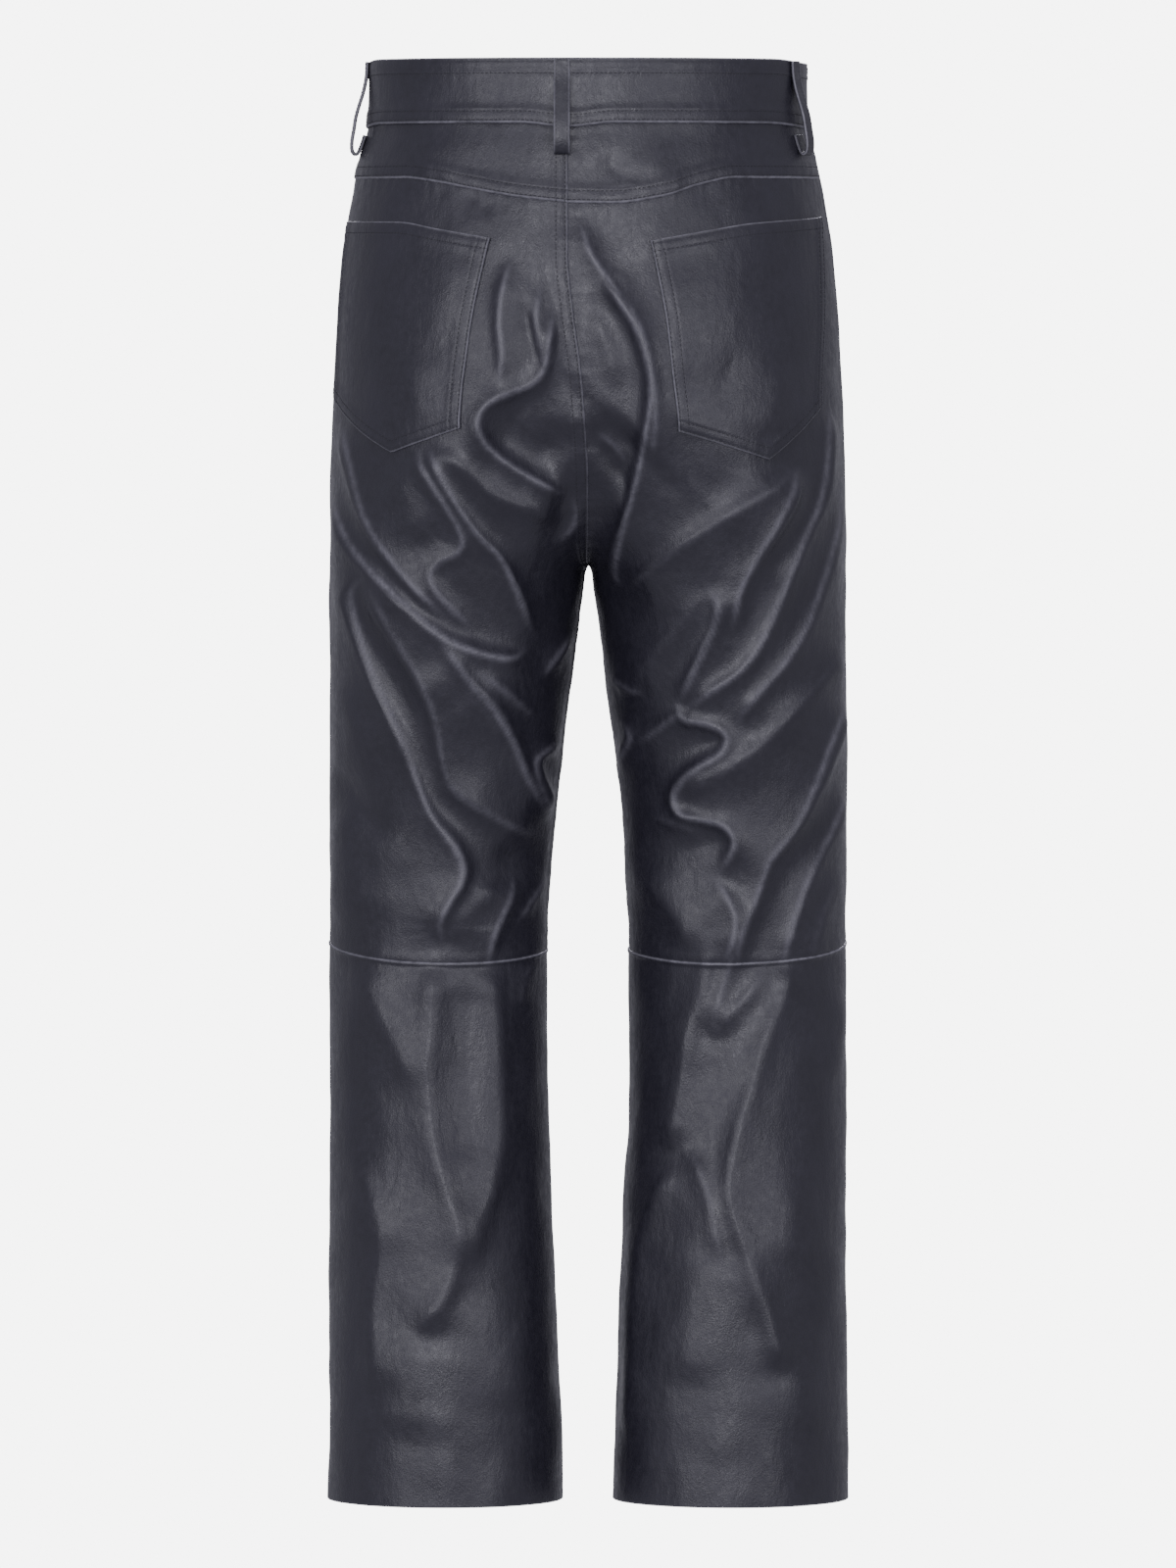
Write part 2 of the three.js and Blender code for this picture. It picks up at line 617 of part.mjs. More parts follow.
for (let i = FRONT_COLUMNS - 1; i > 0; i -= 1) frontColumn(RIGHT, i / FRONT_COLUMNS, BAND_PROUD);
frontColumn(RIGHT, STEP_FROM / frontReach(RIGHT), BAND_PROUD);
frontColumn(RIGHT, STEP_TO / frontReach(RIGHT), underLift);
for (const past of UNDERLAP) frontColumn(LEFT, past / frontReach(LEFT), underLift);
const bandRows = Array.from({ length: BAND_ROWS + 1 }, (_, row) =>
  bandColumns.map(({ top, seam, at }) => at(mix(top, seam, row / BAND_ROWS))));
panels.push({
  name: "waistband", grid: bandRows, outward: 1, edges: { bottom: true }, wall: BAND_WALL,
  lift: (column) => bandColumns[column].lift,
});

// Patch pockets, laid on the back panels. A share runs from the inner side of a pocket to its outer
// side, and "in" is measured from the side seam.
const POCKET_COLUMNS = 12;
const POCKET_ROWS = 11;
const POCKETS = [
  {
    side: LEFT, name: "pocket_left", topInner: 191, topOuter: 36.5, lowInner: 187.5, lowOuter: 46,
    tip: 0.4, tipColumn: 5, innerDown: 263, tipDown: 280.6, outerDown: 242,
    top: table(["share", "down"], [[0, 128], [0.27, 121.5], [0.5, 116.5], [1, 116]]),
  },
  {
    side: RIGHT, name: "pocket_right", topInner: 183, topOuter: 20.5, lowInner: 182.5, lowOuter: 58,
    tip: 0.54, tipColumn: 6, innerDown: 265, tipDown: 285.5, outerDown: 248,
    top: table(["share", "down"], [[0, 130], [0.27, 122.7], [0.5, 117.5], [1, 112.8]]),
  },
];
for (const pocket of POCKETS) {
  const topDown = curve(pocket.top, "down", "share");
  const grid = [];
  for (let row = 0; row <= POCKET_ROWS; row += 1) {
    const line = [];
    for (let column = 0; column <= POCKET_COLUMNS; column += 1) {
      const before = column / pocket.tipColumn;
      const after = (column - pocket.tipColumn) / (POCKET_COLUMNS - pocket.tipColumn);
      const share = before < 1 ? pocket.tip * before : mix(pocket.tip, 1, after);
      const low = before < 1
        ? mix(pocket.innerDown, pocket.tipDown, before)
        : mix(pocket.tipDown, pocket.outerDown, after);
      const way = row / POCKET_ROWS;
      const topIn = mix(pocket.topInner, pocket.topOuter, share);
      const lowIn = mix(pocket.lowInner, pocket.lowOuter, share);
      line.push(backPoint(pocket.side, mix(topIn, lowIn, way), mix(topDown(share), low, way)));
    }
    grid.push(line);
  }
  panels.push({ name: pocket.name, grid, outward: pocket.side, lift: () => LAY_GAP + CLOTH_WALL });
}

// The zip's tape lies behind the centre front, below its slider
const ZIP_HALF = 14;
const ZIP_TOP = 67;
const ZIP_LENGTH = 150;
const ZIP_ROWS = 10;
const TAPE_LIFT = -3.6;
const tapeRows = Array.from({ length: ZIP_ROWS + 1 }, (_, row) => {
  const down = ZIP_TOP + (ZIP_LENGTH * row) / ZIP_ROWS;
  return [-1, -0.5, 0, 0.5, 1].map((across) => {
    const side = across > 0 ? RIGHT : LEFT;
    return frontPoint(side, frontLength(side, down) - Math.abs(across) * ZIP_HALF, down);
  });
});
panels.push({ name: "zip_tape", grid: tapeRows, outward: -1, lift: () => TAPE_LIFT, wall: 1, finish: TAPE });

for (const panel of panels) addNormals(panel.grid, panel.outward);
for (const panel of panels) group.add(clothMesh(panel));

// A small level frame on the form: a place, the way out and the way across
function frameAt(pointAt) {
  const place = pointAt(0);
  const across = pointAt(2).sub(pointAt(-2)).setZ(0).normalize();
  const out = new THREE.Vector3(across.y, -across.x, 0);
  return { place, across, out };
}

// A closed bar: a flat outline in (out, down) carried across a frame
function barMesh(name, frame, outline, width, finish) {
  const positions = [];
  for (const half of [-width / 2, width / 2]) {
    for (const [out, down] of outline) {
      const p = frame.place.clone().addScaledVector(frame.out, out).addScaledVector(frame.across, half);
      positions.push(p.x, p.y, BAND_HEIGHT / 2 - down);
    }
  }
  const n = outline.length;
  const index = [];
  const flat = outline.map(([out, down]) => new THREE.Vector2(out, down));
  for (const [a, b, c] of THREE.ShapeUtils.triangulateShape(flat, [])) {
    index.push(a, b, c, n + c, n + b, n + a);
  }
  const turns = THREE.ShapeUtils.isClockWise(flat) ? -1 : 1;
  for (let i = 0; i < n; i += 1) {
    const j = (i + 1) % n;
    if (turns > 0) index.push(j, i, n + i, j, n + i, n + j);
    else index.push(i, j, n + j, i, n + j, n + i);
  }
  return piece(name, closedGeometry(positions, index), finish);
}

// Belt loops: sewn at the waistband's top edge, hanging out and turned back in to its lower seam.
// out is the distance of the strap's middle from the cloth.
const LOOP_WIDTH = 11.5;
const LOOP_WALL = 2.2;
const LOOP_PATH = table(
  ["down", "out"],
  [
    [1.5, 2.6], [12, 2.9], [22, 4.6], [32, 7.4], [41, 9.6], [50, 10.4], [58, 9.6],
    [64.5, 7.4], [67.5, 4.6], [66.5, 2.4], [61, 1.7], [54, 1.7],
  ],
);
const LOOP_STEPS = 24;
const LOOPS = [
  { name: "loop_centre", side: LEFT, arc: section(BAND_HEIGHT, true).length - 18.6 },
  { name: "loop_left", side: LEFT, arc: 7 },
  { name: "loop_right", side: RIGHT, arc: 44 },
];
for (const { name, side, arc } of LOOPS) {
  const frame = frameAt((step) => clothPoint(side, arc - side * step, BAND_HEIGHT));
  const route = new THREE.CatmullRomCurve3(LOOP_PATH.map(({ down, out }) => {
    const cloth = clothPoint(side, arc, down).sub(frame.place).dot(frame.out);
    return new THREE.Vector3(cloth + out, down, 0);
  }));
  const one = [];
  const other = [];
  for (let i = 0; i <= LOOP_STEPS; i += 1) {
    const middle = route.getPoint(i / LOOP_STEPS);
    const tangent = route.getTangent(i / LOOP_STEPS);
    const half = LOOP_WALL / 2;
    one.push([middle.x - tangent.y * half, middle.y + tangent.x * half]);
    other.push([middle.x + tangent.y * half, middle.y - tangent.x * half]);
  }
  group.add(barMesh(name, frame, [...one, ...other.reverse()], LOOP_WIDTH, LEATHER));
}

// The zip's slider sits closed at the top of its tape, with its tab lying down in front of the tape
const SLIDER_WIDTH = 8;
const SLIDER_TOP = 58;
const SLIDER_LOW = 66.5;
const TAB_LOW = 86;
const middleFront = (down) => frontPoint(LEFT, frontLength(LEFT, down), down);
const sliderFrame = frameAt((step) => frontPoint(LEFT, frontLength(LEFT, ZIP_TOP) - step, ZIP_TOP));
const sliderOutline = [
  [-2.5, SLIDER_TOP], [-6.6, SLIDER_TOP], [-6.6, SLIDER_LOW], [-3.2, SLIDER_LOW],
  [-3.2, TAB_LOW], [-2.5, TAB_LOW], [-2.5, SLIDER_LOW],
].map(([out, down]) => [out + middleFront(down).sub(sliderFrame.place).dot(sliderFrame.out), down]);
group.add(barMesh("zip_slider", sliderFrame, sliderOutline, SLIDER_WIDTH, METAL));

// The waist button, on the upper end of the waistband
const BUTTON_RADIUS = 8.5;
const BUTTON_IN = 11;
const buttonDown = mix(bandTopFront(0), frontSeam(0), 0.5);
const buttonFrame = frameAt((step) =>
  frontPoint(LEFT, frontLength(LEFT, buttonDown) - BUTTON_IN - step, buttonDown));
const buttonProfile = [
  [0, 0], [BUTTON_RADIUS - 2, 0], [BUTTON_RADIUS, 1.6], [BUTTON_RADIUS - 0.6, 2.8],
  [BUTTON_RADIUS - 2.2, 3.2], [BUTTON_RADIUS - 3, 2.6], [0, 2.6],
].map(([r, y]) => new THREE.Vector2(r, y));
const button = piece("waist_button", new THREE.LatheGeometry(buttonProfile, 20), METAL);
button.position.copy(buttonFrame.place).addScaledVector(buttonFrame.out, BAND_PROUD + 0.5);
button.quaternion.setFromUnitVectors(new THREE.Vector3(0, 1, 0), buttonFrame.out);
group.add(button);

export default group;
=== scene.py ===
from functools import partial
import bpy
import numpy as np
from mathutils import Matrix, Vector


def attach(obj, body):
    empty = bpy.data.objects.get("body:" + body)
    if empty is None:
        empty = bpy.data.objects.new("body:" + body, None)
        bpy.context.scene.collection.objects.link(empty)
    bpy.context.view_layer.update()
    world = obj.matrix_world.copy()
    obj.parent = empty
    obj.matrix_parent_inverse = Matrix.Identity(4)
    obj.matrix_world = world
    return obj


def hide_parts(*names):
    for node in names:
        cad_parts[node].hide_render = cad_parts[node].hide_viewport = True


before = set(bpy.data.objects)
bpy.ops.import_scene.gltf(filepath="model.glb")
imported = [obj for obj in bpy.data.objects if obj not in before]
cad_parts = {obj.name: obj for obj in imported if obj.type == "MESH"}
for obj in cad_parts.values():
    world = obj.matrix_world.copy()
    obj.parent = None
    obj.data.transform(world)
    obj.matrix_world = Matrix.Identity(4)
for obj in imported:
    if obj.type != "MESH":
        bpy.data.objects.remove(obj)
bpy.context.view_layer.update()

# Camera, level with the seat of the trousers and far back, as in the photograph. It looks at the
# middle of the picture, which is a little below the seat.
PICTURE_HEIGHT = 1.128
CAMERA_AWAY = 9.5
EYE_LEVEL = -0.145
PICTURE_MIDDLE = -0.497
SEES_TO = 60
camera_data = bpy.data.cameras.new("camera")
camera_data.sensor_fit = "VERTICAL"
camera_data.sensor_height = 36
camera = bpy.data.objects.new("camera", camera_data)
bpy.context.collection.objects.link(camera)
camera.location = (0, -CAMERA_AWAY, EYE_LEVEL)
aim = Vector((0, 0, PICTURE_MIDDLE)) - camera.location
camera.rotation_euler = aim.to_track_quat("-Z", "Y").to_euler()
camera_data.lens = camera_data.sensor_height * aim.length / PICTURE_HEIGHT
camera_data.clip_end = SEES_TO
bpy.context.scene.camera = camera

# Upper back legs: two panels of soft dark slate leather, cut from the yoke seam to the knee seam and
# sewn together down the seat, the left one lapped over the right. All the panels take their form
# from the level sections of the filled-out trousers, in millimetres, "down" from the waist's edge.
MM = 0.001
LEFT, RIGHT = -1, 1
BAND_HEIGHT = 46
CLOTH_WALL = 1.4
CROTCH_DOWN = 361
HEM_DOWN = 1034
SEAT_CURVE = 132
FLY_CURVE = 104
BRIDGE = 30
KNEE_INNER, KNEE_OUTER = 638, 633


def table(columns, *rows):
    """Named columns as arrays."""
    return {name: np.array([row[i] for row in rows], float) for i, name in enumerate(columns)}


def curve(rows, column, along="down"):
    """A curve through a table's rows that doesn't overshoot between them."""
    x, y = rows[along], rows[column]
    secant = np.diff(y) / np.diff(x)
    slope = np.concatenate([secant[:1], np.zeros(len(x) - 2), secant[-1:]])
    same = secant[:-1] * secant[1:] > 0
    both = np.where(same, secant[:-1] + secant[1:], 1)
    slope[1:-1] = np.where(same, 2 * secant[:-1] * secant[1:] / both, 0)

    def value(at):
        at = np.clip(at, x[0], x[-1])
        i = np.clip(np.searchsorted(x, at, side="right") - 1, 0, len(x) - 2)
        span = x[i + 1] - x[i]
        t = (at - x[i]) / span
        bend = t * (1 - t) * span * (slope[i] * (1 - t) - slope[i + 1] * t)
        return y[i] + (y[i + 1] - y[i]) * smooth(t) + bend

    return value


def smooth(t):
    t = np.clip(t, 0, 1)
    return t * t * (3 - 2 * t)


def hump(away, width):
    return np.exp(-((away / width) ** 2))


def mix(a, b, t):
    return a + (b - a) * t


SECTIONS = table(
    ("down", "half_width", "gap", "leg_middle", "back", "front", "centre_y"),
    (0, 156, 0, 12, 112, 108, 0),
    (47, 157.5, 0, 18, 115, 110, 0),
    (69, 163.5, 0, 22, 118, 112, 0),
    (100, 169.5, 0, 28, 122, 113, 0),
    (140, 176, 0, 38, 127, 113, 0),
    (196, 181, 0, 52, 131, 112, 0),
    (250, 183.6, 0, 66, 131, 111, 0),
    (310, 185, 0, 80, 122, 108, 0),
    (361, 185.8, 0, 93, 110, 105, 0),
    (366, 185.8, 2.6, 94, 109, 105, 0),
    (380, 185.9, 4, 95, 106, 104, 0.5),
    (400, 186, 7, 96.5, 102, 102, 1),
    (464, 186, 15, 100.5, 92, 98, 3),
    (549, 186, 24.5, 105, 81, 92, 5),
    (633, 186, 29.6, 108, 75, 86, 5),
    (718, 186, 29.3, 107.7, 76, 80, 2),
    (845, 186, 25, 105.5, 80, 78, -4),
    (972, 186.5, 19.7, 103, 82, 78, -8),
    (1034, 187.5, 17.6, 102.5, 82, 78, -9),
)
TURN = table(
    ("down", "middle", "side"),
    (0, 14.5, 17),
    (137, 14.5, 17),
    (185, 10, 17),
    (218, 5.6, 17),
    (252, 2.6, 16),
    (300, 0, 13),
    (420, 0, 0),
)
middle_turn, side_turn = curve(TURN, "middle"), curve(TURN, "side")

# The sections are measured once, round the back and round the front, at even steps of cloth
ARC_STEP = 1.5
ARC_COUNT = 240
SECTION_STEPS = 90
FORM_STEP = 2.0
NEAR_CROTCH, CROTCH_SECTIONS = 30, 60
BRIDGE_ROUNDING = 0.7
near_crotch = CROTCH_DOWN - NEAR_CROTCH * np.linspace(0, 1, CROTCH_SECTIONS) ** 2
form_downs = np.unique(np.concatenate([np.arange(-6, HEM_DOWN + 8, FORM_STEP), near_crotch]))


def section_form(back):
    """The half form behind or in front: places along each section, and each section's length."""
    downs = np.clip(form_downs, 0, HEM_DOWN)
    width = curve(SECTIONS, "half_width")(downs)[:, None]
    middle = curve(SECTIONS, "leg_middle")(downs)[:, None]
    depth = -curve(SECTIONS, "back")(downs)[:, None] if back else curve(SECTIONS, "front")(downs)[:, None]
    y0 = curve(SECTIONS, "centre_y")(downs)[:, None]
    share = np.clip((CROTCH_DOWN - form_downs) / (SEAT_CURVE if back else FLY_CURVE), 0, 1)[:, None]
    inner = np.where(form_downs < CROTCH_DOWN, 0, curve(SECTIONS, "gap")(downs))[:, None]
    angle = np.linspace(0, np.pi / 2, SECTION_STEPS + 1)[None, :]
    outer_x = middle + (width - middle) * np.cos(angle)
    outer_y = y0 + depth * np.sin(angle)
    inner_x = middle - (middle - inner) * np.sin(angle[:, 1:])
    bridged = (middle - np.hypot(inner_x, BRIDGE * share ** BRIDGE_ROUNDING)) / middle
    reach = np.where(share > 0, bridged, np.sin(angle[:, 1:]))
    inner_y = y0 + depth * np.sqrt(1 - np.clip(reach * (1 - share), 0, 1) ** 2)
    xs = np.concatenate([outer_x, inner_x], axis=1)
    ys = np.concatenate([outer_y, inner_y], axis=1)
    steps = np.hypot(np.diff(xs), np.diff(ys))
    arcs = np.concatenate([np.zeros((len(xs), 1)), np.cumsum(steps, axis=1)], axis=1)
    lengths = arcs[:, -1]
    even = np.arange(ARC_COUNT) * ARC_STEP
    grid = np.empty((len(xs), ARC_COUNT, 2))
    for i in range(len(xs)):
        past = np.clip(even - lengths[i], 0, None)
        if share[i, 0] > 0:
            folded = np.where(past > 0, lengths[i] - past, even)
            grid[i, :, 0] = np.interp(folded, arcs[i], xs[i]) * np.where(past > 0, -1, 1)
            grid[i, :, 1] = np.interp(folded, arcs[i], ys[i])
        else:
            grid[i, :, 0] = np.interp(even, arcs[i], xs[i])
            grid[i, :, 1] = np.interp(even, arcs[i], ys[i]) + past * (1 if back else -1)
    return grid, lengths


back_form, back_lengths = section_form(True)
front_form, front_lengths = section_form(False)


def plain_point(side, arc, down):
    """A place on the plain form: arc runs from the widest place, to the back where it is positive."""
    i = np.clip(np.searchsorted(form_downs, down, side="right") - 1, 0, len(form_downs) - 2)
    f = ((down - form_downs[i]) / (form_downs[i + 1] - form_downs[i]))[..., None]
    place = np.clip(np.abs(arc) / ARC_STEP, 0, ARC_COUNT - 1.001)
    j = place.astype(int)
    g = (place - j)[..., None]

    def on(form):
        return mix(mix(form[i, j], form[i, j + 1], g), mix(form[i + 1, j], form[i + 1, j + 1], g), f)

    xy = np.where((arc >= 0)[..., None], on(back_form), on(front_form))
    return np.stack([side * xy[..., 0], xy[..., 1]], axis=-1)


# Creases, each a curve through places as seen from behind, in millimetres from the middle and down.
# rise is its crest's height (a hollow's is negative), left and right how far it falls away on the
# two sides of someone who walks along it downwards, the troughs how deep it dips there next to its
# rise, and tip how rounded its crest is.
CREASE_COLUMNS = ("rise", "left", "right", "trough_left", "trough_right", "tip", "path")
BACK_CREASES = (
    (7.5, 24, 6, 0, 0.6, 1.6, ((-189, 293), (-180, 326), (-166, 352), (-141, 379), (-106, 410), (-78, 423),
     (-55, 427), (-39, 418))),
    (5.2, 7, 13, 0.5, 0, 1.6, ((-177, 256), (-171, 288), (-161, 323), (-145, 351), (-123, 377),
     (-100, 399))),
    (3.8, 13, 12, 0, 0, 6, ((-140, 288), (-128, 312), (-114, 348))),
    (3.8, 9, 5, 0, 0.3, 1.2, ((-117, 272), (-120, 286), (-111, 303), (-97, 326), (-89, 343), (-94, 353),
     (-106, 359), (-112, 369), (-106, 382), (-93, 395), (-80, 409))),
    (5.5, 8, 7, 0.3, 0.5, 1.5, ((-116, 272), (-104, 298), (-92, 319), (-78, 339), (-63, 355), (-53, 374),
     (-44, 397), (-38, 413))),
    (6.2, 10, 10, 0.3, 0.3, 4, ((-116, 275), (-92, 289), (-67, 311), (-39, 323), (-13, 330))),
    (6.9, 14, 6, 0, 0.7, 1.6, ((-24, 176), (-27, 200), (-31, 221), (-41, 233), (-60, 240), (-74, 249),
     (-78, 262), (-72, 275), (-55, 289), (-30, 304), (-11, 313))),
    (4.4, 6, 9, 0.3, 0, 2, ((-12, 310), (-8, 323), (-13, 337), (-24, 345))),
    (4.4, 5, 8, 0.6, 0, 2, ((-54, 141), (-61, 165), (-63, 189), (-61, 213), (-65, 237))),
    (-4, 5, 4.5, 0, 0, 2, ((-48, 168), (-42, 192), (-36, 214), (-31, 230))),
    (3.4, 5, 6, 0, 0.5, 2, ((-33, 158), (-37, 185), (-33, 212), (-28, 228))),
    (6.8, 14, 6, 0, 0.7, 1.8, ((-157, 369), (-167, 376), (-169, 388), (-162, 415), (-152, 443),
     (-141, 467), (-130, 492), (-121, 517), (-112, 539), (-99, 557), (-90, 574), (-91, 588), (-99, 602),
     (-106, 618), (-102, 634))),
    (6.2, 7, 16, 0.5, 0, 2.5, ((-159, 374), (-141, 407), (-120, 443), (-109, 471), (-104, 499), (-97, 520),
     (-79, 534), (-55, 548), (-31, 557))),
    (5, 10, 6, 0, 0.5, 1.8, ((-106, 411), (-85, 443), (-67, 464), (-53, 489), (-45, 510), (-35, 528),
     (-25, 547))),
    (2.8, 6, 5, 0, 0.3, 1.5, ((-86, 434), (-70, 443), (-49, 460), (-34, 474))),
    (3.2, 12, 12, 0, 0, 6, ((-116, 429), (-96, 460), (-82, 486))),
    (2.5, 8, 8, 0, 0, 3, ((-92, 450), (-73, 465), (-62, 492))),
    (4, 14, 12, 0, 0, 6, ((-176, 436), (-164, 477), (-154, 520))),
    (-4.2, 10, 10, 0, 0, 5, ((-185, 501), (-161, 539), (-134, 560))),
    (4.2, 12, 16, 0, 0, 7, ((-179, 529), (-173, 570), (-168, 626))),
    (5.5, 12, 12, 0, 0, 6, ((-62, 578), (-72, 595), (-89, 612), (-100, 633))),
    (4.2, 14, 6, 0, 0.6, 2, ((-56, 580), (-54, 594), (-61, 612), (-68, 630), (-72, 654))),
    (2.8, 6, 6, 0.3, 0, 1.6, ((-23, 580), (-37, 598), (-52, 620))),
    (3.8, 5, 6, 0.4, 0, 1.5, ((-6, 405), (-20, 424), (-34, 444))),
    (4, 5, 6, 0.4, 0.3, 1.5, ((-7, 482), (-28, 494), (-37, 503), (-31, 525), (-21, 550))),
    (-3.2, 8, 8, 0, 0, 4, ((-70, 564), (-49, 571), (-24, 575))),
    (4.2, 9, 5, 0, 0.6, 1.8, ((-7, 113), (1, 137), (13, 156), (30, 178))),
    (7, 6, 11, 0.7, 0, 1.6, ((8, 154), (28, 182), (39, 207), (44, 235), (41, 263), (35, 295), (28, 323),
     (21, 351), (19, 367), (24, 381))),
    (3.2, 4, 9, 0.4, 0, 1.5, ((25, 168), (37, 192), (45, 221), (48, 252), (45, 288))),
    (3, 8, 8, 0, 0, 4, ((0, 175), (13, 203), (21, 238))),
    (3.2, 6, 6, 0, 0.4, 1.6, ((4, 266), (18, 275), (28, 289))),
    (5, 9, 18, 0.4, 0, 3, ((149, 288), (137, 302), (113, 317), (85, 335), (56, 355), (35, 372),
     (20, 384))),
    (6.8, 14, 7, 0, 0.6, 1.8, ((149, 288), (146, 307), (134, 332), (120, 356), (108, 381), (102, 411))),
    (5.5, 6, 9, 0.6, 0, 1.5, ((83, 374), (92, 388), (90, 404), (80, 427), (70, 448), (64, 462))),
    (5.8, 6, 9, 0.6, 0, 1.4, ((63, 455), (65, 465), (70, 472), (83, 474), (95, 479), (99, 486), (94, 496),
     (79, 505), (67, 515), (61, 527), (66, 539), (79, 543), (96, 547), (104, 558), (100, 571), (90, 585))),
    (4.2, 12, 6, 0, 0.5, 1.8, ((87, 581), (99, 598), (105, 613), (103, 630), (96, 650))),
    (6, 8, 10, 0.3, 0.2, 1.8, ((173, 245), (171, 288), (166, 316), (157, 337), (145, 365), (137, 386),
     (124, 415), (109, 436), (88, 451), (68, 465))),
    (5.2, 8, 12, 0.4, 0, 1.8, ((183, 288), (180, 330), (173, 358), (166, 379), (155, 407), (141, 430),
     (120, 454), (102, 477))),
    (6.2, 9, 20, 0.4, 0, 3.2, ((188, 415), (173, 436), (152, 458), (130, 482), (106, 503), (81, 517),
     (63, 530))),
    (6.8, 16, 8, 0, 0.6, 2, ((189, 454), (177, 482), (168, 506), (159, 527), (149, 548), (140, 560),
     (130, 572), (125, 585), (119, 603), (111, 623), (104, 651))),
    (5.5, 8, 11, 0.3, 0, 2, ((192, 513), (180, 541), (169, 564), (157, 588), (147, 616), (138, 651))),
    (3.5, 9, 9, 0, 0, 3, ((188, 577), (176, 596), (166, 619), (159, 654))),
    (4.5, 11, 12, 0.3, 0, 4, ((86, 378), (66, 406), (44, 429), (20, 451))),
    (3, 6, 6, 0, 0.3, 1.6, ((11, 439), (27, 450), (42, 454))),
    (2.5, 6, 6, 0.3, 0, 1.6, ((70, 462), (51, 478), (32, 491))),
    (5.8, 12, 16, 0.4, 0, 7, ((42, 571), (51, 594), (68, 615), (82, 644))),
    (3.5, 6, 5, 0, 0.4, 1.6, ((20, 471), (30, 484), (21, 503), (16, 520))),
    (3.2, 7, 7, 0, 0, 3, ((39, 539), (63, 547), (85, 556))),
    (2.4, 14, 14, 0, 0, 8, ((-121, 204), (-120, 238), (-113, 266))),
    (-2, 9, 9, 0, 0, 5, ((110, 200), (97, 231), (86, 259))),
    (2.6, 9, 9, 0, 0, 5, ((138, 212), (131, 245), (128, 271))),
    (1.6, 12, 10, 0, 0, 7, ((-92, 133), (-97, 168), (-102, 196))),
    (2, 9, 12, 0, 0, 6, ((63, 141), (68, 189), (70, 238))),
    (-2, 5, 6, 0, 0, 2.5, ((8, 69), (21, 80), (35, 92))),
    (1.8, 9, 9, 0, 0, 5, ((42, 62), (51, 80), (70, 94))),
    (1.2, 10, 10, 0, 0, 6, ((-113, 55), (-106, 73), (-92, 90))),
    (-1.4, 6, 6, 0, 0, 4, ((-92, 94), (-76, 103), (-69, 116))),
    (-9, 26, 28, 0, 0, 12, ((-76, 255), (-42, 272), (-11, 290))),
    (-8, 26, 26, 0, 0, 12, ((39, 266), (23, 281), (4, 292))),
    (-6, 28, 28, 0, 0, 12, ((-6, 252), (-4, 288), (-2, 323), (0, 348))),
    (4, 10, 12, 0.3, 0, 7, ((-165, 642), (-152, 673), (-141, 694), (-130, 716), (-120, 737))),
    (6, 11, 10, 0.2, 0.3, 4.2, ((-112, 642), (-111, 682), (-114, 718), (-113, 746), (-109, 781),
     (-101, 809), (-94, 832), (-94, 853), (-100, 877), (-110, 895), (-125, 912))),
    (5.5, 13, 9, 0, 0.5, 6.3, ((-72, 642), (-67, 689), (-65, 732), (-64, 767), (-70, 802), (-79, 830),
     (-86, 866))),
    (-3.1, 12, 12, 0, 0, 8.4, ((-92, 651), (-89, 704), (-86, 753), (-86, 795))),
    (3.2, 11, 8, 0.2, 0.2, 3.36, ((-180, 783), (-159, 801), (-149, 826), (-147, 846), (-149, 867),
     (-153, 888), (-152, 916), (-151, 957))),
    (2.6, 10, 10, 0, 0, 8.4, ((-166, 807), (-165, 828), (-164, 856))),
    (2.9, 22, 22, 0, 0, 14, ((-118, 905), (-123, 943), (-127, 991))),
    (2.5, 20, 16, 0, 0, 12.6, ((-63, 873), (-55, 915), (-51, 971))),
    (2.5, 7, 7, 0, 0.3, 2.8, ((-38, 642), (-45, 661), (-49, 682))),
    (5.5, 13, 8, 0, 0.5, 4.2, ((90, 619), (85, 651), (80, 675), (73, 697), (69, 725), (64, 753),
     (59, 785))),
    (3.5, 6, 7, 0.4, 0, 2.52, ((110, 619), (102, 644), (95, 668), (86, 701))),
    (3.1, 6, 7, 0.3, 0, 2.8, ((128, 642), (118, 664), (104, 680), (87, 702))),
    (6.2, 8, 14, 0.5, 0, 3.64, ((145, 637), (139, 668), (131, 689), (123, 711), (118, 732), (111, 753),
     (106, 774), (102, 792), (101, 809), (106, 830), (112, 849), (119, 873), (126, 895), (133, 919),
     (141, 943))),
    (4, 14, 6, 0, 0.6, 2.8, ((68, 774), (80, 795), (87, 816), (91, 839), (97, 866))),
    (4.4, 8, 9, 0, 0.3, 4.2, ((66, 785), (51, 812), (42, 835), (37, 859), (34, 894), (32, 943),
     (28, 991))),
    (3.1, 16, 18, 0, 0, 12.6, ((96, 846), (86, 874), (75, 909), (69, 952))),
    (2.5, 14, 14, 0, 0, 9.8, ((141, 929), (151, 957), (161, 993))),
    (2.6, 12, 12, 0, 0, 9.8, ((157, 802), (149, 830), (138, 866))),
    (2.5, 12, 8, 0, 0, 7, ((189, 661), (180, 697), (178, 739))),
)
FRONT_SHAPE = (0.4, 0.2, 3)
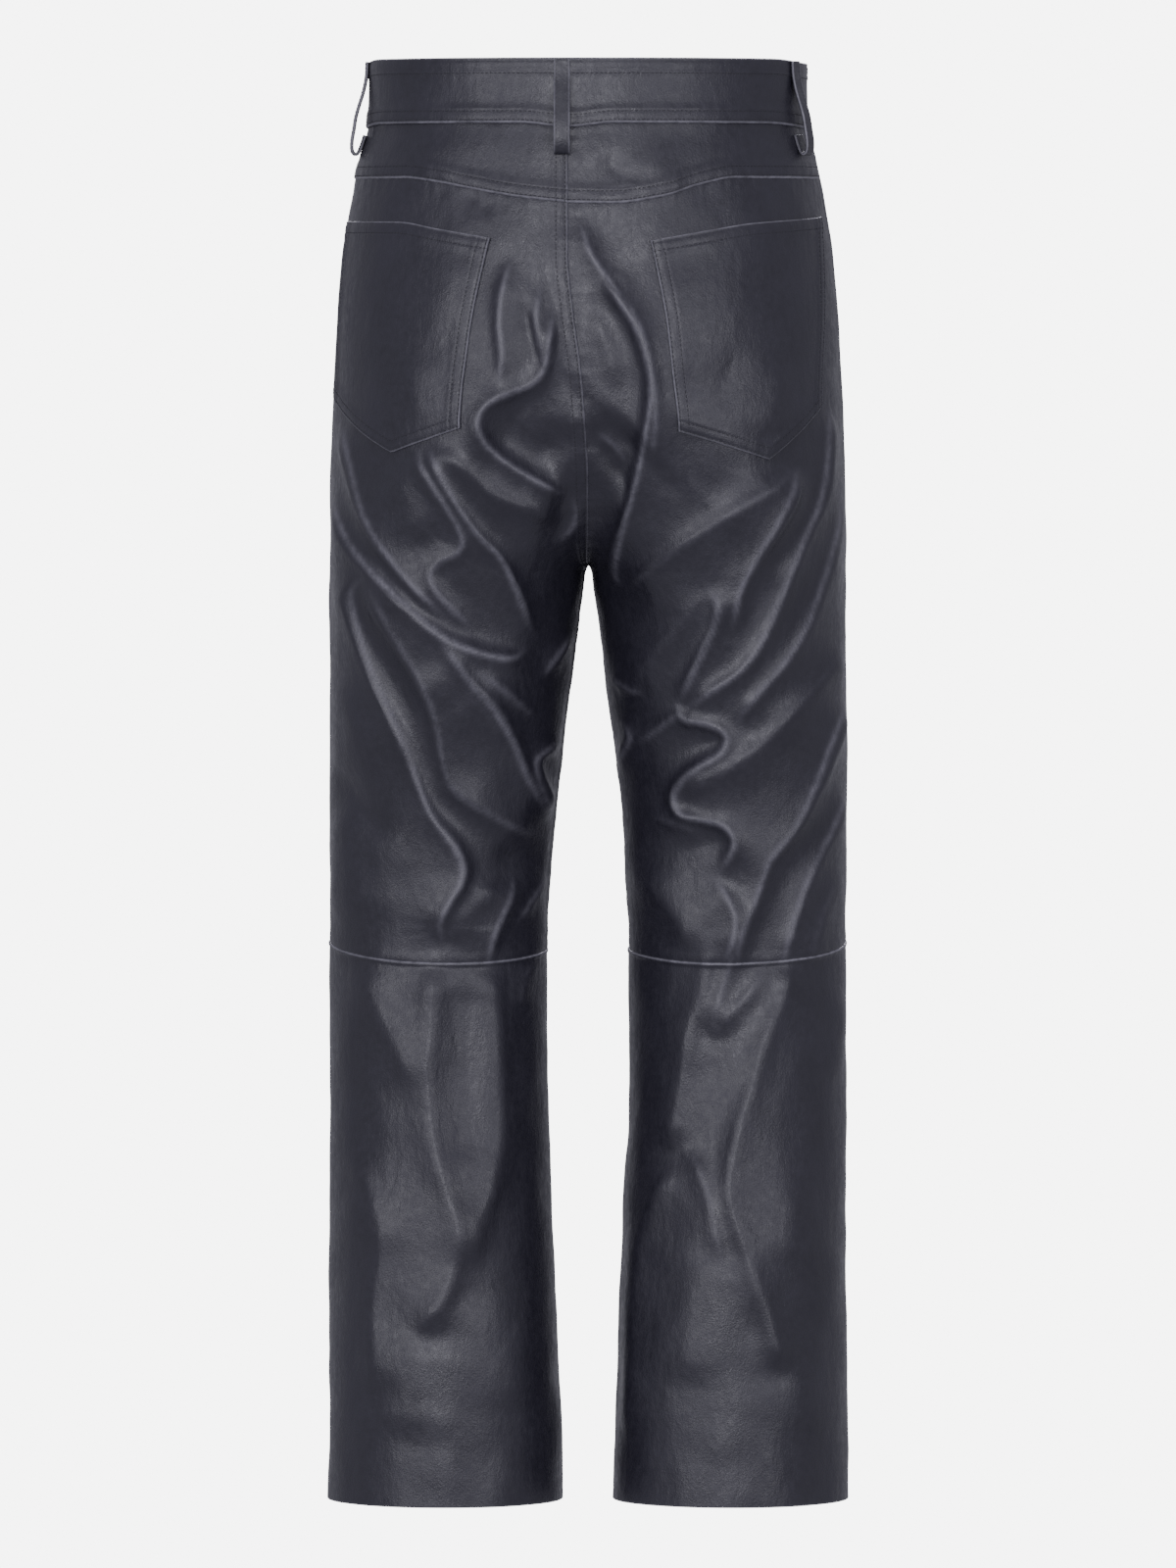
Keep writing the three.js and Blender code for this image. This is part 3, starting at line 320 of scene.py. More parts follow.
FRONT_CREASES = [row[:3] + FRONT_SHAPE + row[3:] for row in (
    (3.9, 10, 12, ((-16, 330), (-62, 318), (-122, 282))),
    (3.9, 10, 12, ((-20, 366), (-74, 372), (-136, 344))),
    (3.38, 11, 12, ((-58, 420), (-96, 436), (-150, 424))),
    (3.12, 12, 12, ((-62, 520), (-98, 540), (-140, 530))),
    (3.9, 12, 14, ((-66, 596), (-104, 614), (-144, 606))),
    (3.38, 12, 12, ((-76, 668), (-106, 676), (-140, 664))),
    (3.12, 13, 13, ((-84, 730), (-98, 800), (-92, 880))),
    (2.86, 13, 13, ((-128, 800), (-120, 870), (-126, 950))),
    (4.16, 10, 12, ((18, 326), (66, 316), (118, 288))),
    (3.64, 10, 12, ((20, 362), (70, 376), (142, 352))),
    (3.64, 11, 12, ((52, 430), (94, 446), (152, 428))),
    (3.12, 12, 12, ((66, 508), (104, 530), (146, 522))),
    (3.9, 12, 14, ((64, 602), (100, 616), (138, 600))),
    (3.12, 12, 12, ((80, 664), (108, 674), (146, 670))),
    (3.12, 13, 13, ((88, 740), (96, 812), (90, 890))),
    (2.86, 13, 13, ((130, 790), (122, 866), (130, 944))),
)]
CREASE_STEP = 5
CREASE_REACH = 5
CREASE_ENDS, SHORT_ENDS = 26, 0.35
TROUGH_WIDTH = 0.38
# Sharp crease crests are painted paler in the colour: rubbed wear and a painted highlight along each
# crest.
CREST_RUB_AND_HIGHLIGHT_RISE = 4.5
CREST_RUB_AND_HIGHLIGHT_TIP = 3.6
CREST_RUB_AND_HIGHLIGHT_WIDTH = 2.1
CREST_RUB_AND_HIGHLIGHT = 0.5


def rounded_path(places, count):
    """Places evenly spaced on a smooth curve through a few."""
    ends = np.vstack([2 * places[:1] - places[1:2], places, 2 * places[-1:] - places[-2:-1]])
    t = np.linspace(0, len(places) - 1, count)
    i = np.minimum(t.astype(int), len(places) - 2)
    f = (t - i)[:, None]
    a, b, c, d = (ends[i + k] for k in range(4))
    return b + 0.5 * f * (c - a + f * (2 * a - 5 * b + 4 * c - d + f * (3 * b - a - 3 * c + d)))


def crease_field(creases, x, down):
    """Height of the creased cloth above its plain form, and its sharp crests, seen square on."""
    height, crest = np.zeros_like(x), np.zeros_like(x)
    for row in creases:
        crease = dict(zip(CREASE_COLUMNS, row))
        places = np.array(crease["path"], float)
        total = np.hypot(*np.diff(places, axis=0).T).sum()
        line = rounded_path(places, int(total / CREASE_STEP) + 3)
        reach = CREASE_REACH * max(crease["left"], crease["right"])
        near = (x > line[:, 0].min() - reach) & (x < line[:, 0].max() + reach)
        near &= (down > line[:, 1].min() - reach) & (down < line[:, 1].max() + reach)
        if not near.any():
            continue
        px, pd = x[near], down[near]
        best = np.full(px.shape, float(reach))
        gone, side = np.zeros_like(px), np.ones_like(px)
        steps = np.diff(line, axis=0)
        lengths = np.hypot(steps[:, 0], steps[:, 1])
        starts = np.concatenate([[0], np.cumsum(lengths)])
        for (x0, d0), (ux, ud), length, start in zip(line, steps, lengths, starts):
            ax, ad = px - x0, pd - d0
            s = np.clip((ax * ux + ad * ud) / length ** 2, 0, 1)
            distance = np.hypot(ax - ux * s, ad - ud * s)
            closer = distance < best
            best = np.where(closer, distance, best)
            gone = np.where(closer, start + s * length, gone)
            side = np.where(closer, ux * ad - ud * ax, side)
        tip = crease["tip"]
        fall = np.where(side > 0, crease["left"], crease["right"])
        trough = np.where(side > 0, crease["trough_left"], crease["trough_right"])
        u = (np.sqrt(best ** 2 + tip ** 2) - tip) / fall
        shape = (1 + trough) * np.exp(-u) - trough * np.exp(-TROUGH_WIDTH * u)
        taper = min(CREASE_ENDS, SHORT_ENDS * starts[-1])
        ends = smooth(gone / taper) * smooth((starts[-1] - gone) / taper)
        height[near] += crease["rise"] * shape * ends
        # Sharp crests get a mask for the paler colour, a painted highlight that is also rubbed wear.
        sharp = np.clip(crease["rise"] / CREST_RUB_AND_HIGHLIGHT_RISE, 0, 1) * smooth((CREST_RUB_AND_HIGHLIGHT_TIP - tip) / 2)
        crest[near] = np.maximum(crest[near], sharp * ends * hump(best, CREST_RUB_AND_HIGHLIGHT_WIDTH))
    return height, crest


def creases_at(x, down, facing_y):
    behind = crease_field(BACK_CREASES, x, down)
    front = crease_field(FRONT_CREASES, x, down)
    return [np.where(facing_y < 0, b, f) for b, f in zip(behind, front)]


# Soft unevenness of worn leather, as a sum of slow waves in all directions
WAVES = 40
SHORTEST, LONGEST, USUAL = 20, 90, 60
UNEVEN = 0.26 / 3
random_waves = np.random.default_rng(11)
wave_lengths = random_waves.uniform(SHORTEST, LONGEST, WAVES)
wave_ways = random_waves.normal(size=(WAVES, 3))
wave_ways *= (2 * np.pi / wave_lengths / np.linalg.norm(wave_ways, axis=1))[:, None]
wave_phases = random_waves.uniform(0, 2 * np.pi, WAVES)


def unevenness(points):
    phase = points @ wave_ways.T + wave_phases
    return UNEVEN * (np.sin(phase) * (wave_lengths / USUAL)).sum(axis=-1)


NORMAL_STEP = 3
FACING_FROM, FACING_OVER = 0.1, 0.35


def cloth_point(side, arc, down):
    """A place on the creased cloth. Creases fade out where the form turns away at the sides."""
    xy = plain_point(side, arc, down)
    ahead = plain_point(side, arc + NORMAL_STEP, down)
    behind = plain_point(side, arc - NORMAL_STEP, down)
    along = ahead - behind
    along /= np.maximum(np.linalg.norm(along, axis=-1, keepdims=True), 1e-9)
    out = side * np.stack([-along[..., 1], along[..., 0]], axis=-1)
    facing = smooth((np.abs(out[..., 1]) - FACING_FROM) / FACING_OVER)
    height = creases_at(xy[..., 0], down, out[..., 1])[0]
    xy = xy + out * (facing * height)[..., None]
    return np.concatenate([xy, (BAND_HEIGHT / 2 - down)[..., None]], axis=-1)


def back_length(side, down):
    return np.interp(down, form_downs, back_lengths) + side * (middle_turn(down) - side_turn(down))


def front_length(side, down):
    return np.interp(down, form_downs, front_lengths) - side * (middle_turn(down) - side_turn(down))


def back_point(side, inwards, down):
    return cloth_point(side, inwards + side * side_turn(down), down)


def front_point(side, inwards, down):
    return cloth_point(side, side * side_turn(down) - inwards, down)


# Grid lines lie close together along a panel's edges, where its turned edge and stitches are
EDGE_LINES = np.array([0, 0.4, 0.9, 1.5, 2.2, 3.1, 4.4, 6, 7.4, 8.3, 9.2, 10.4, 12])


def lines_between(lengths, step):
    """Distances from one edge to the other, for each of several lengths."""
    lengths = np.atleast_1d(lengths)
    count = max(4, int(round((lengths.max() - 2 * EDGE_LINES[-1]) / step)))
    share = np.linspace(0, 1, count + 1)[1:-1]
    first = np.broadcast_to(EDGE_LINES, (len(lengths), len(EDGE_LINES)))
    last = lengths[:, None] - EDGE_LINES[::-1]
    between = mix(EDGE_LINES[-1], lengths[:, None] - EDGE_LINES[-1], share)
    return np.concatenate([first, between, last], axis=1)


YOKE = table(
    ("share", "left", "right"),
    (0, 102.5, 102.5),
    (0.14, 99, 103),
    (0.3, 93, 98),
    (0.42, 88, 90),
    (0.55, 85, 85),
    (1, 85, 85),
)


def yoke_seam(side, share):
    return curve(YOKE, "left" if side == LEFT else "right", "share")(share)


KNEE_SAG_BACK, KNEE_SAG_FRONT = 10, -4


def knee_back(share):
    return mix(KNEE_INNER, KNEE_OUTER, share) + KNEE_SAG_BACK * np.sin(np.pi * share)


def knee_front(share):
    return mix(KNEE_INNER, KNEE_OUTER, share) + KNEE_SAG_FRONT * np.sin(np.pi * share)


def hem_line(share):
    return HEM_DOWN + 0 * share


# Rows crowd together near the crotch, over this share of a panel's rows
CROTCH_CROWDING, CROTCH_SHARE = 2, 0.13


def middle_rows(length_at, point_at, top, step):
    """Places down the middle seam: even on its curve to the crotch, then even down the inseam."""
    downs = CROTCH_DOWN - (CROTCH_DOWN - top) * (1 - np.linspace(0, 1, 1200)) ** 2
    ends = point_at(length_at(downs), downs)
    run = np.concatenate([[0], np.cumsum(np.linalg.norm(np.diff(ends, axis=0), axis=1))])
    above = int(round(run[-1] / step))
    below = int(round((KNEE_INNER - CROTCH_DOWN) / step))
    upper = np.interp(np.linspace(0, run[-1], above + 1)[:-1], run, downs)
    return np.concatenate([upper, np.linspace(CROTCH_DOWN, KNEE_INNER, below + 1)]), above


def upper_panel(length_at, point_at, top_seam, knee_seam, step):
    """Points of a panel from its top seam to the knee seam, columns from the middle outwards."""
    inner, crotch_at = middle_rows(length_at, point_at, float(top_seam(0.0)), step)
    rows = len(inner)
    fine = lines_between(np.array([rows - 1.0]) * step, step)[0] / ((rows - 1) * step) * (rows - 1)
    inner = np.interp(fine, np.arange(rows), inner)
    inner_way = (inner - top_seam(0.0)) / (KNEE_INNER - top_seam(0.0))
    outer_way = fine / (rows - 1)
    bend = 1 + CROTCH_CROWDING * hump(fine - crotch_at, CROTCH_SHARE * rows)
    reach = length_at(inner)
    across = lines_between(reach, step)
    share = across / reach[:, None]
    lean = 1 - (1 - share) ** bend[:, None]
    way = mix(inner_way[:, None], outer_way[:, None], lean)
    down = mix(top_seam(share), knee_seam(share), way)
    return point_at(reach[:, None] - across, down)


def cross_panel(length_at, point_at, top_seam, low_seam, step):
    """Points of a panel between two seams that run across."""
    top, low = float(top_seam(0.0)), float(low_seam(0.0))
    way = lines_between(np.array([low - top]), step)[0] / (low - top)
    reach = length_at(mix(top, low, way))
    across = lines_between(reach, step)
    share = across / reach[:, None]
    down = mix(top_seam(share), low_seam(share), way[:, None])
    return point_at(reach[:, None] - across, down)


def grid_normals(points, outward):
    along = np.gradient(points, axis=1)
    below = np.gradient(points, axis=0)
    normals = np.cross(below, along) * outward
    return normals / np.maximum(np.linalg.norm(normals, axis=-1, keepdims=True), 1e-9)


def run_lengths(points, axis):
    steps = np.linalg.norm(np.diff(points, axis=axis), axis=-1)
    start = np.zeros_like(np.take(steps, [0], axis=axis))
    return np.concatenate([start, np.cumsum(steps, axis=axis)], axis=axis)


# How an edge is made: "over" and the flatter "fell" lap a neighbour, "under" is lapped, "butt" is a
# seam pressed open, "welt" is folded over a narrow seam, "turned" is a free edge, "hem" is folded up
# and "bare" is plain
TURNED_LIFT, FELL_SHARE = 1.0, 0.75
FREE_LIFT, WELT_LIFT = 0.65, 0.8
EDGE_ROW, SECOND_ROW = 1.9, 8.3
ROW_GROOVE, GROOVE_WIDTH = 0.34, 0.75
FOLD_WIDTH, FOLD_FADE = 8.6, 5.5
WELT_WIDTH, WELT_FADE = 1.3, 2.2
SEAM_DIP, DIP_WIDTH = 0.55, 0.9
UNDER_DIP, UNDER_WIDTH = 0.3, 1.5
FREE_EDGE_DROP = 0.5
PUCKER, PUCKER_FADE = 0.2, 8
PUCKER_LENGTHS = (7.3, 11.9, 19.7)
pucker_phases = np.random.default_rng(5).uniform(0, 2 * np.pi, 64)


def edge_relief(kind, distance, along, seed):
    """How far an edge's fold, seam and stitches raise the leather or draw it in."""
    inside = np.clip(distance, 0, None)
    ripple = sum(
        np.sin(2 * np.pi * along / length + pucker_phases[(seed * 3 + i) % 64])
        for i, length in enumerate(PUCKER_LENGTHS)
    )
    pucker = PUCKER * ripple / 1.6 * np.exp(-inside / PUCKER_FADE)
    round_over = np.sqrt(np.clip(1 - (1 - np.clip(inside, 0, 1)) ** 2, 0, 1))
    fall_back = 1 - smooth((inside - FOLD_WIDTH) / FOLD_FADE)
    rows = hump(inside - EDGE_ROW, GROOVE_WIDTH) + hump(inside - SECOND_ROW, GROOVE_WIDTH)
    grooves = -ROW_GROOVE * rows
    if kind == "over":
        return TURNED_LIFT * round_over * fall_back + grooves + pucker * round_over
    if kind == "fell":
        return FELL_SHARE * TURNED_LIFT * round_over * fall_back + grooves + pucker * round_over
    if kind == "under":
        return -UNDER_DIP * np.exp(-inside / UNDER_WIDTH) + pucker
    if kind == "butt":
        return -SEAM_DIP * np.exp(-inside / DIP_WIDTH) + 0.2 * hump(inside - 4, 3) + 0.25 * pucker
    if kind == "welt":
        welt = 1 - smooth((inside - WELT_WIDTH) / WELT_FADE)
        return WELT_LIFT * round_over * welt + 0.5 * pucker * round_over
    if kind == "turned":
        return FREE_LIFT * round_over * fall_back - FREE_EDGE_DROP * (1 - round_over) + grooves
    if kind == "hem":
        return -FREE_EDGE_DROP * (1 - round_over)
    return np.zeros_like(inside)


# How pale each kind of edge is painted: rubbed wear and a painted highlight of light catching the edge.
EDGE_RUB_AND_HIGHLIGHT = {"over": 1.0, "welt": 0.9, "fell": 0.4, "turned": 0.9, "hem": 0.4, "butt": 0.25}
EDGE_RUB_AND_HIGHLIGHT_FROM, EDGE_RUB_AND_HIGHLIGHT_FADE = 0.35, 0.55


def rubbed_and_highlit_edge(kind, distance):
    """Where an edge is painted pale, as rubbed wear and as a painted highlight of light catching it:
    strongest on a lapped edge.
    """
    return EDGE_RUB_AND_HIGHLIGHT.get(kind, 0) * hump(np.clip(distance - EDGE_RUB_AND_HIGHLIGHT_FROM, 0, None), EDGE_RUB_AND_HIGHLIGHT_FADE)


def grid_mesh(name, outer, inner, rubbed_and_highlit, materials):
    """A closed wall between two grids of points, in millimetres, made an object in metres."""
    rows, columns = outer.shape[:2]
    verts = np.concatenate([outer.reshape(-1, 3), inner.reshape(-1, 3)]) * MM
    at = np.arange(rows * columns).reshape(rows, columns)
    face = np.stack([at[:-1, :-1], at[1:, :-1], at[1:, 1:], at[:-1, 1:]], axis=-1).reshape(-1, 4)
    back = face[:, ::-1] + rows * columns
    loop = np.concatenate([at[0, :-1], at[:-1, -1], at[-1, :0:-1], at[:0:-1, 0]])
    nxt = np.roll(loop, -1)
    rim = np.stack([loop, nxt, nxt + rows * columns, loop + rows * columns], axis=-1)
    quads = np.concatenate([face, back, rim])
    mesh = bpy.data.meshes.new(name)
    mesh.vertices.add(len(verts))
    mesh.vertices.foreach_set("co", verts.ravel())
    mesh.loops.add(quads.size)
    mesh.loops.foreach_set("vertex_index", quads.ravel())
    mesh.polygons.add(len(quads))
    mesh.polygons.foreach_set("loop_start", np.arange(0, quads.size, 4))
    mesh.polygons.foreach_set("use_smooth", np.ones(len(quads), bool))
    slots = np.concatenate([np.zeros(len(face)), np.ones(len(back)), np.zeros(len(rim))]).astype(int)
    mesh.polygons.foreach_set("material_index", slots if len(materials) > 1 else np.zeros(len(quads), int))
    mesh.update(calc_edges=True)
    # The outer face carries its painted paleness, rubbed wear and painted highlight together, as a point
    # attribute; the inner face has none.
    rub_and_highlight = mesh.attributes.new("rub_and_highlight", "FLOAT", "POINT")
    rubbed_and_highlit_values = np.concatenate([rubbed_and_highlit.ravel(), np.zeros(rubbed_and_highlit.size)])
    rub_and_highlight.data.foreach_set("value", rubbed_and_highlit_values.astype(np.float32))
    for material in materials:
        mesh.materials.append(material)
    obj = bpy.data.objects.new(name, mesh)
    bpy.context.collection.objects.link(obj)
    return obj


def flip_if_inside_out(obj):
    """Faces point outwards: the wall's volume says which way they were listed."""
    mesh = obj.data
    mesh.calc_loop_triangles()
    points = np.empty(len(mesh.vertices) * 3)
    mesh.vertices.foreach_get("co", points)
    points = points.reshape(-1, 3)
    corners = np.empty(len(mesh.loop_triangles) * 3, int)
    mesh.loop_triangles.foreach_get("vertices", corners)
    a, b, c = (points[corners.reshape(-1, 3)[:, i]] for i in range(3))
    if (a * np.cross(b, c)).sum() < 0:
        mesh.flip_normals()


class Shade:
    """One value, colour or vector in a material, with its sums written as sums."""

    def __init__(self, tree, socket):
        self.tree, self.socket = tree, socket

    def node(self, kind, settings=None, inputs=None, output=0):
        """Any node of the same tree: its settings first, then the values or links of its sockets."""
        made = self.tree.nodes.new(kind)
        for key, value in (settings or {}).items():
            setattr(made, key, value)
        for key, value in (inputs or {}).items():
            if isinstance(value, Shade):
                self.tree.links.new(value.socket, made.inputs[key])
            else:
                made.inputs[key].default_value = value
        return Shade(self.tree, made.outputs[output])

    def maths(self, operation, other):
        return self.node("ShaderNodeMath", {"operation": operation}, {0: self, 1: other})

    def __add__(self, other):
        return self.maths("ADD", other)

    def __sub__(self, other):
        return self.maths("SUBTRACT", other)

    def __mul__(self, other):
        return self.maths("MULTIPLY", other)

    __radd__, __rmul__ = __add__, __mul__

    def limited(self):
        return self.node("ShaderNodeClamp", {}, {"Value": self})

    def blend(self, first, second):
        """A colour between two, by this value."""
        settings = {"data_type": "RGBA"}
        return self.node("ShaderNodeMix", settings, {0: self, 6: first, 7: second}, 2)


def new_material(name, **constants):
    """A material, its shader with the unchanging values set, and the object's own coordinates."""
    material = bpy.data.materials.new(name)
    material.use_nodes = True
    tree = material.node_tree
    shader = tree.nodes["Principled BSDF"]
    for socket, value in constants.items():
        shader.inputs[socket.replace("_", " ")].default_value = value
    return material, shader, Shade(tree, None).node("ShaderNodeTexCoord", output=3)


def noise(place, scale, detail=2.0, roughness=0.5):
    inputs = {"Vector": place, "Scale": scale, "Detail": detail, "Roughness": roughness}
    return place.node("ShaderNodeTexNoise", {}, inputs)


def bump(height, strength, distance, **below):
    """Fine relief, its distance in metres, on top of another where one is given."""
    inputs = {"Strength": strength, "Distance": distance, "Height": height, **below}
    return height.node("ShaderNodeBump", {}, inputs)


def darker(colour, share):
    return tuple(share * v for v in colour[:3]) + (1,)


def feed(shader, **values):
    for socket, value in values.items():
        value.tree.links.new(value.socket, shader.inputs[socket.replace("_", " ")])


SLATE = (0.019, 0.0178, 0.0265, 1)
SLATE_DEEP = (0.0115, 0.0108, 0.0165, 1)
# The pale colour of crests and edges: rubbed wear, and a painted highlight in place of light catching
# them.
SLATE_RUBBED_AND_HIGHLIT = (0.155, 0.151, 0.175, 1)
FLESH_SIDE = (0.050, 0.046, 0.045, 1)
CLOUD_SCALE, BREAK_SCALE, MOTTLE_SCALE, PEBBLE_SCALE, FINE_SCALE = 26, 85, 190, 900, 1700
SHINE = 0.40


def leather(name):
    """Slate leather with soft clouds of tone, a fine grain, and paler on crests and edges, where the
    paleness is both rubbed wear and a painted highlight.
    """
    material, shader, place = new_material(name, Specular_IOR_Level=0.5, IOR=1.5)
    clouds = noise(place, CLOUD_SCALE, 3, 0.55)
    mottle = noise(place, MOTTLE_SCALE, 3, 0.6)
    cells = {"Vector": place, "Scale": PEBBLE_SCALE}
    pebbles = place.node("ShaderNodeTexVoronoi", {"feature": "SMOOTH_F1"}, cells)
    fine = noise(place, FINE_SCALE, 2, 0.6)
    stretched = place.node("ShaderNodeMapping", {}, {"Vector": place, "Scale": (1, 1, 0.5)})
    breaks = noise(stretched, BREAK_SCALE, 5, 0.6)
    rub_and_highlight = place.node("ShaderNodeAttribute", {"attribute_name": "rub_and_highlight"}, output=2)
    tone = ((clouds - 0.5) * 1.1 + (mottle - 0.5) * 0.9 + 0.5).limited()
    plain = tone.blend(SLATE_DEEP, SLATE)
    # Paler where rubbed and where a highlight is painted on crests and edges: this colour carries both
    # wear and painted light.
    rub_and_highlight_share = (rub_and_highlight * (0.1 + 1.3 * mottle * clouds * 2)).limited()
    feed(shader, Base_Color=rub_and_highlight_share.blend(plain, SLATE_RUBBED_AND_HIGHLIT))
    feed(shader, Roughness=(SHINE + (mottle - 0.5) * 0.34 + (clouds - 0.5) * 0.2 + rub_and_highlight * 0.05).limited())
    grain = pebbles * 0.7 + fine * 0.3
    feed(shader, Normal=bump(grain, 0.5, 0.0003, Normal=bump(breaks, 0.6, 0.0014)))
    return material


def flesh_side(name):
    """The unfinished inner face of the leather, matt and a little browner."""
    material, shader, place = new_material(name, Specular_IOR_Level=0.2)
    nap = noise(place, 420, 4, 0.7)
    feed(shader, Base_Color=nap.blend(darker(FLESH_SIDE, 0.6), FLESH_SIDE))
    feed(shader, Roughness=0.82 + (nap - 0.5) * 0.2)
    feed(shader, Normal=bump(nap, 0.5, 0.0006))
    return material


panel_leather = leather("slate_leather")
inner_leather = flesh_side("leather_flesh_side")
OVERHANG = 0.45
EDGES = ("first", "last", "top", "bottom")
sewn = {}


def edge_line(grid, edge, inwards=0):
    """The grid line along an edge, or the one a few lines in from it."""
    if edge in ("first", "last"):
        grid = grid.swapaxes(0, 1)
    return grid[inwards] if edge in ("first", "top") else grid[-1 - inwards]


def stand_for(obj, node):
    """A leather shell takes the place of its solid."""
    flip_if_inside_out(obj)
    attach(obj, "root")
    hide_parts(node)


def sew_panel(name, node, points, outward, edges, seed, wall=CLOTH_WALL, lift=0.0, calm=1.0):
    """Makes one piece of leather from its plain points, with its edges turned, lapped or pressed.

    Its edges are named in the order of EDGES, lift raises it off its form, and calm evens it out.
    """
    normals = grid_normals(points, outward)
    across, below = run_lengths(points, 1), run_lengths(points, 0)
    distance = {
        "first": across, "last": across[:, -1:] - across,
        "top": below, "bottom": below[-1:, :] - below,
    }
    uneven = unevenness(points) * calm
    raised = uneven.copy()
    crest = creases_at(points[..., 0], BAND_HEIGHT / 2 - points[..., 2], normals[..., 1])[1]
    # Crests and edges are painted paler: rubbed wear and a painted highlight together.
    rubbed_and_highlit = CREST_RUB_AND_HIGHLIGHT * crest * smooth((np.abs(normals[..., 1]) - FACING_FROM) / FACING_OVER)
    for i, (edge, kind) in enumerate(zip(EDGES, edges)):
        along = below if edge in ("first", "last") else across
        raised += edge_relief(kind, distance[edge], along, seed + i)
        rubbed_and_highlit = np.maximum(rubbed_and_highlit, rubbed_and_highlit_edge(kind, distance[edge]))
    moved = points.copy()
    for edge, kind in zip(EDGES, edges):
        if kind in ("over", "fell", "welt"):
            way = edge_line(points, edge) - edge_line(points, edge, 2)
            edge_line(moved, edge)[:] += OVERHANG * way / np.linalg.norm(way, axis=-1, keepdims=True)
    base = np.broadcast_to(lift, points.shape[:2])[..., None]
    outer = moved + normals * (base + raised[..., None])
    inner = moved + normals * (base - wall + uneven[..., None])
    obj = grid_mesh(name, outer, inner, rubbed_and_highlit, [panel_leather, inner_leather])
    stand_for(obj, node)
    sewn[node] = {"points": outer, "normals": normals, "across": across, "below": below}


BACK_STEP = 2.35
HANDS = {LEFT: "left", RIGHT: "right"}
MIDDLE_SEAM = {LEFT: "fell", RIGHT: "under"}
for side, hand in HANDS.items():
    back = partial(back_length, side), partial(back_point, side)
    points = upper_panel(*back, partial(yoke_seam, side), knee_back, BACK_STEP)
    edges = (MIDDLE_SEAM[side], "butt", "under", "butt")
    sew_panel(f"back_leather_{hand}", f"back_{hand}", points, side, edges, seed=3 + side)

# Thread: tone-on-tone polyester, two rows along each lapped seam. Each stitch is a short rounded
# bar that Geometry Nodes set along a row, turned to the leather under it.
STITCH_PITCH = 3.3 * MM
STITCH_LENGTH = 2.5 * MM
THREAD_WIDTH = 0.62 * MM
THREAD_GREY = (0.030, 0.029, 0.036, 1)
thread_material, thread_shader, thread_place = new_material("tonal_thread", Specular_IOR_Level=0.3)
twist = noise(thread_place, 2600, 2)
feed(thread_shader, Base_Color=twist.blend(darker(THREAD_GREY, 0.7), THREAD_GREY))
feed(thread_shader, Roughness=0.62 + (twist - 0.5) * 0.2)


def stitch_tree():
    """Geometry Nodes that set stitches of a given pitch, length and width along rows of edges."""
    tree = bpy.data.node_groups.new("stitches", "GeometryNodeTree")
    face = tree.interface
    face.new_socket("Geometry", in_out="INPUT", socket_type="NodeSocketGeometry")
    for name in ("Pitch", "Length", "Width"):
        face.new_socket(name, in_out="INPUT", socket_type="NodeSocketFloat")
    face.new_socket("Geometry", in_out="OUTPUT", socket_type="NodeSocketGeometry")
    nodes, links = tree.nodes, tree.links

    def node(kind, settings=None, inputs=None):
        made = nodes.new(kind)
        for key, value in (settings or {}).items():
            setattr(made, key, value)
        for key, value in (inputs or {}).items():
            if isinstance(value, bpy.types.NodeSocket):
                links.new(value, made.inputs[key])
            else:
                made.inputs[key].default_value = value
        return made.outputs

    given = node("NodeGroupInput")
    line = node("GeometryNodeMeshToCurve", inputs={0: given["Geometry"]})[0]
    apart = {"Curve": line, "Length": given["Pitch"]}
    spaced = node("GeometryNodeResampleCurve", {"mode": "LENGTH"}, apart)[0]
    bar = node("GeometryNodeMeshUVSphere", inputs={"Segments": 6, "Rings": 4, "Radius": 0.5})["Mesh"]
    sizes = {"X": given["Length"], "Y": given["Width"], "Z": given["Width"]}
    size = node("ShaderNodeCombineXYZ", inputs=sizes)[0]
    shaped = node("GeometryNodeTransform", inputs={"Geometry": bar, "Scale": size})[0]
    out = node("GeometryNodeInputNamedAttribute", {"data_type": "FLOAT_VECTOR"}, {"Name": "out"})[0]
    along = node("GeometryNodeInputTangent")[0]
    upright = node("FunctionNodeAlignRotationToVector", {"axis": "Z"}, {"Vector": out})[0]
    turned = node(
        "FunctionNodeAlignRotationToVector", {"axis": "X", "pivot_axis": "Z"},
        {"Rotation": upright, "Vector": along},
    )[0]
    points = {"Points": spaced, "Instance": shaped, "Rotation": turned}
    copies = node("GeometryNodeInstanceOnPoints", inputs=points)[0]
    plain = node("GeometryNodeRealizeInstances", inputs={"Geometry": copies})[0]
    done = node("GeometryNodeSetMaterial", inputs={"Geometry": plain, "Material": thread_material})[0]
    node("NodeGroupOutput", inputs={"Geometry": done})
    return tree


stitches = stitch_tree()


def row_along(node, edge, inside, start=0.0, end=0.0, lift=0.12):
    """A row of places a set way in from a panel's edge, with the leather's outward way at each."""
    panel = sewn[node]
    points, normals = panel["points"], panel["normals"]
    run = panel["across"]
    if edge in ("top", "bottom"):
        points, normals, run = points.swapaxes(0, 1), normals.swapaxes(0, 1), panel["below"].T
    if edge in ("bottom", "last"):
        points, normals = points[:, ::-1], normals[:, ::-1]
        run = (run[:, -1:] - run)[:, ::-1]
    place = np.array([[np.interp(inside, r, p[:, k]) for k in range(3)] for r, p in zip(run, points)])
    way = np.array([[np.interp(inside, r, n[:, k]) for k in range(3)] for r, n in zip(run, normals)])
    gone = np.concatenate([[0], np.cumsum(np.linalg.norm(np.diff(place, axis=0), axis=1))])
    keep = (gone >= start) & (gone <= gone[-1] - end)
    return place[keep] + lift * way[keep], way[keep]


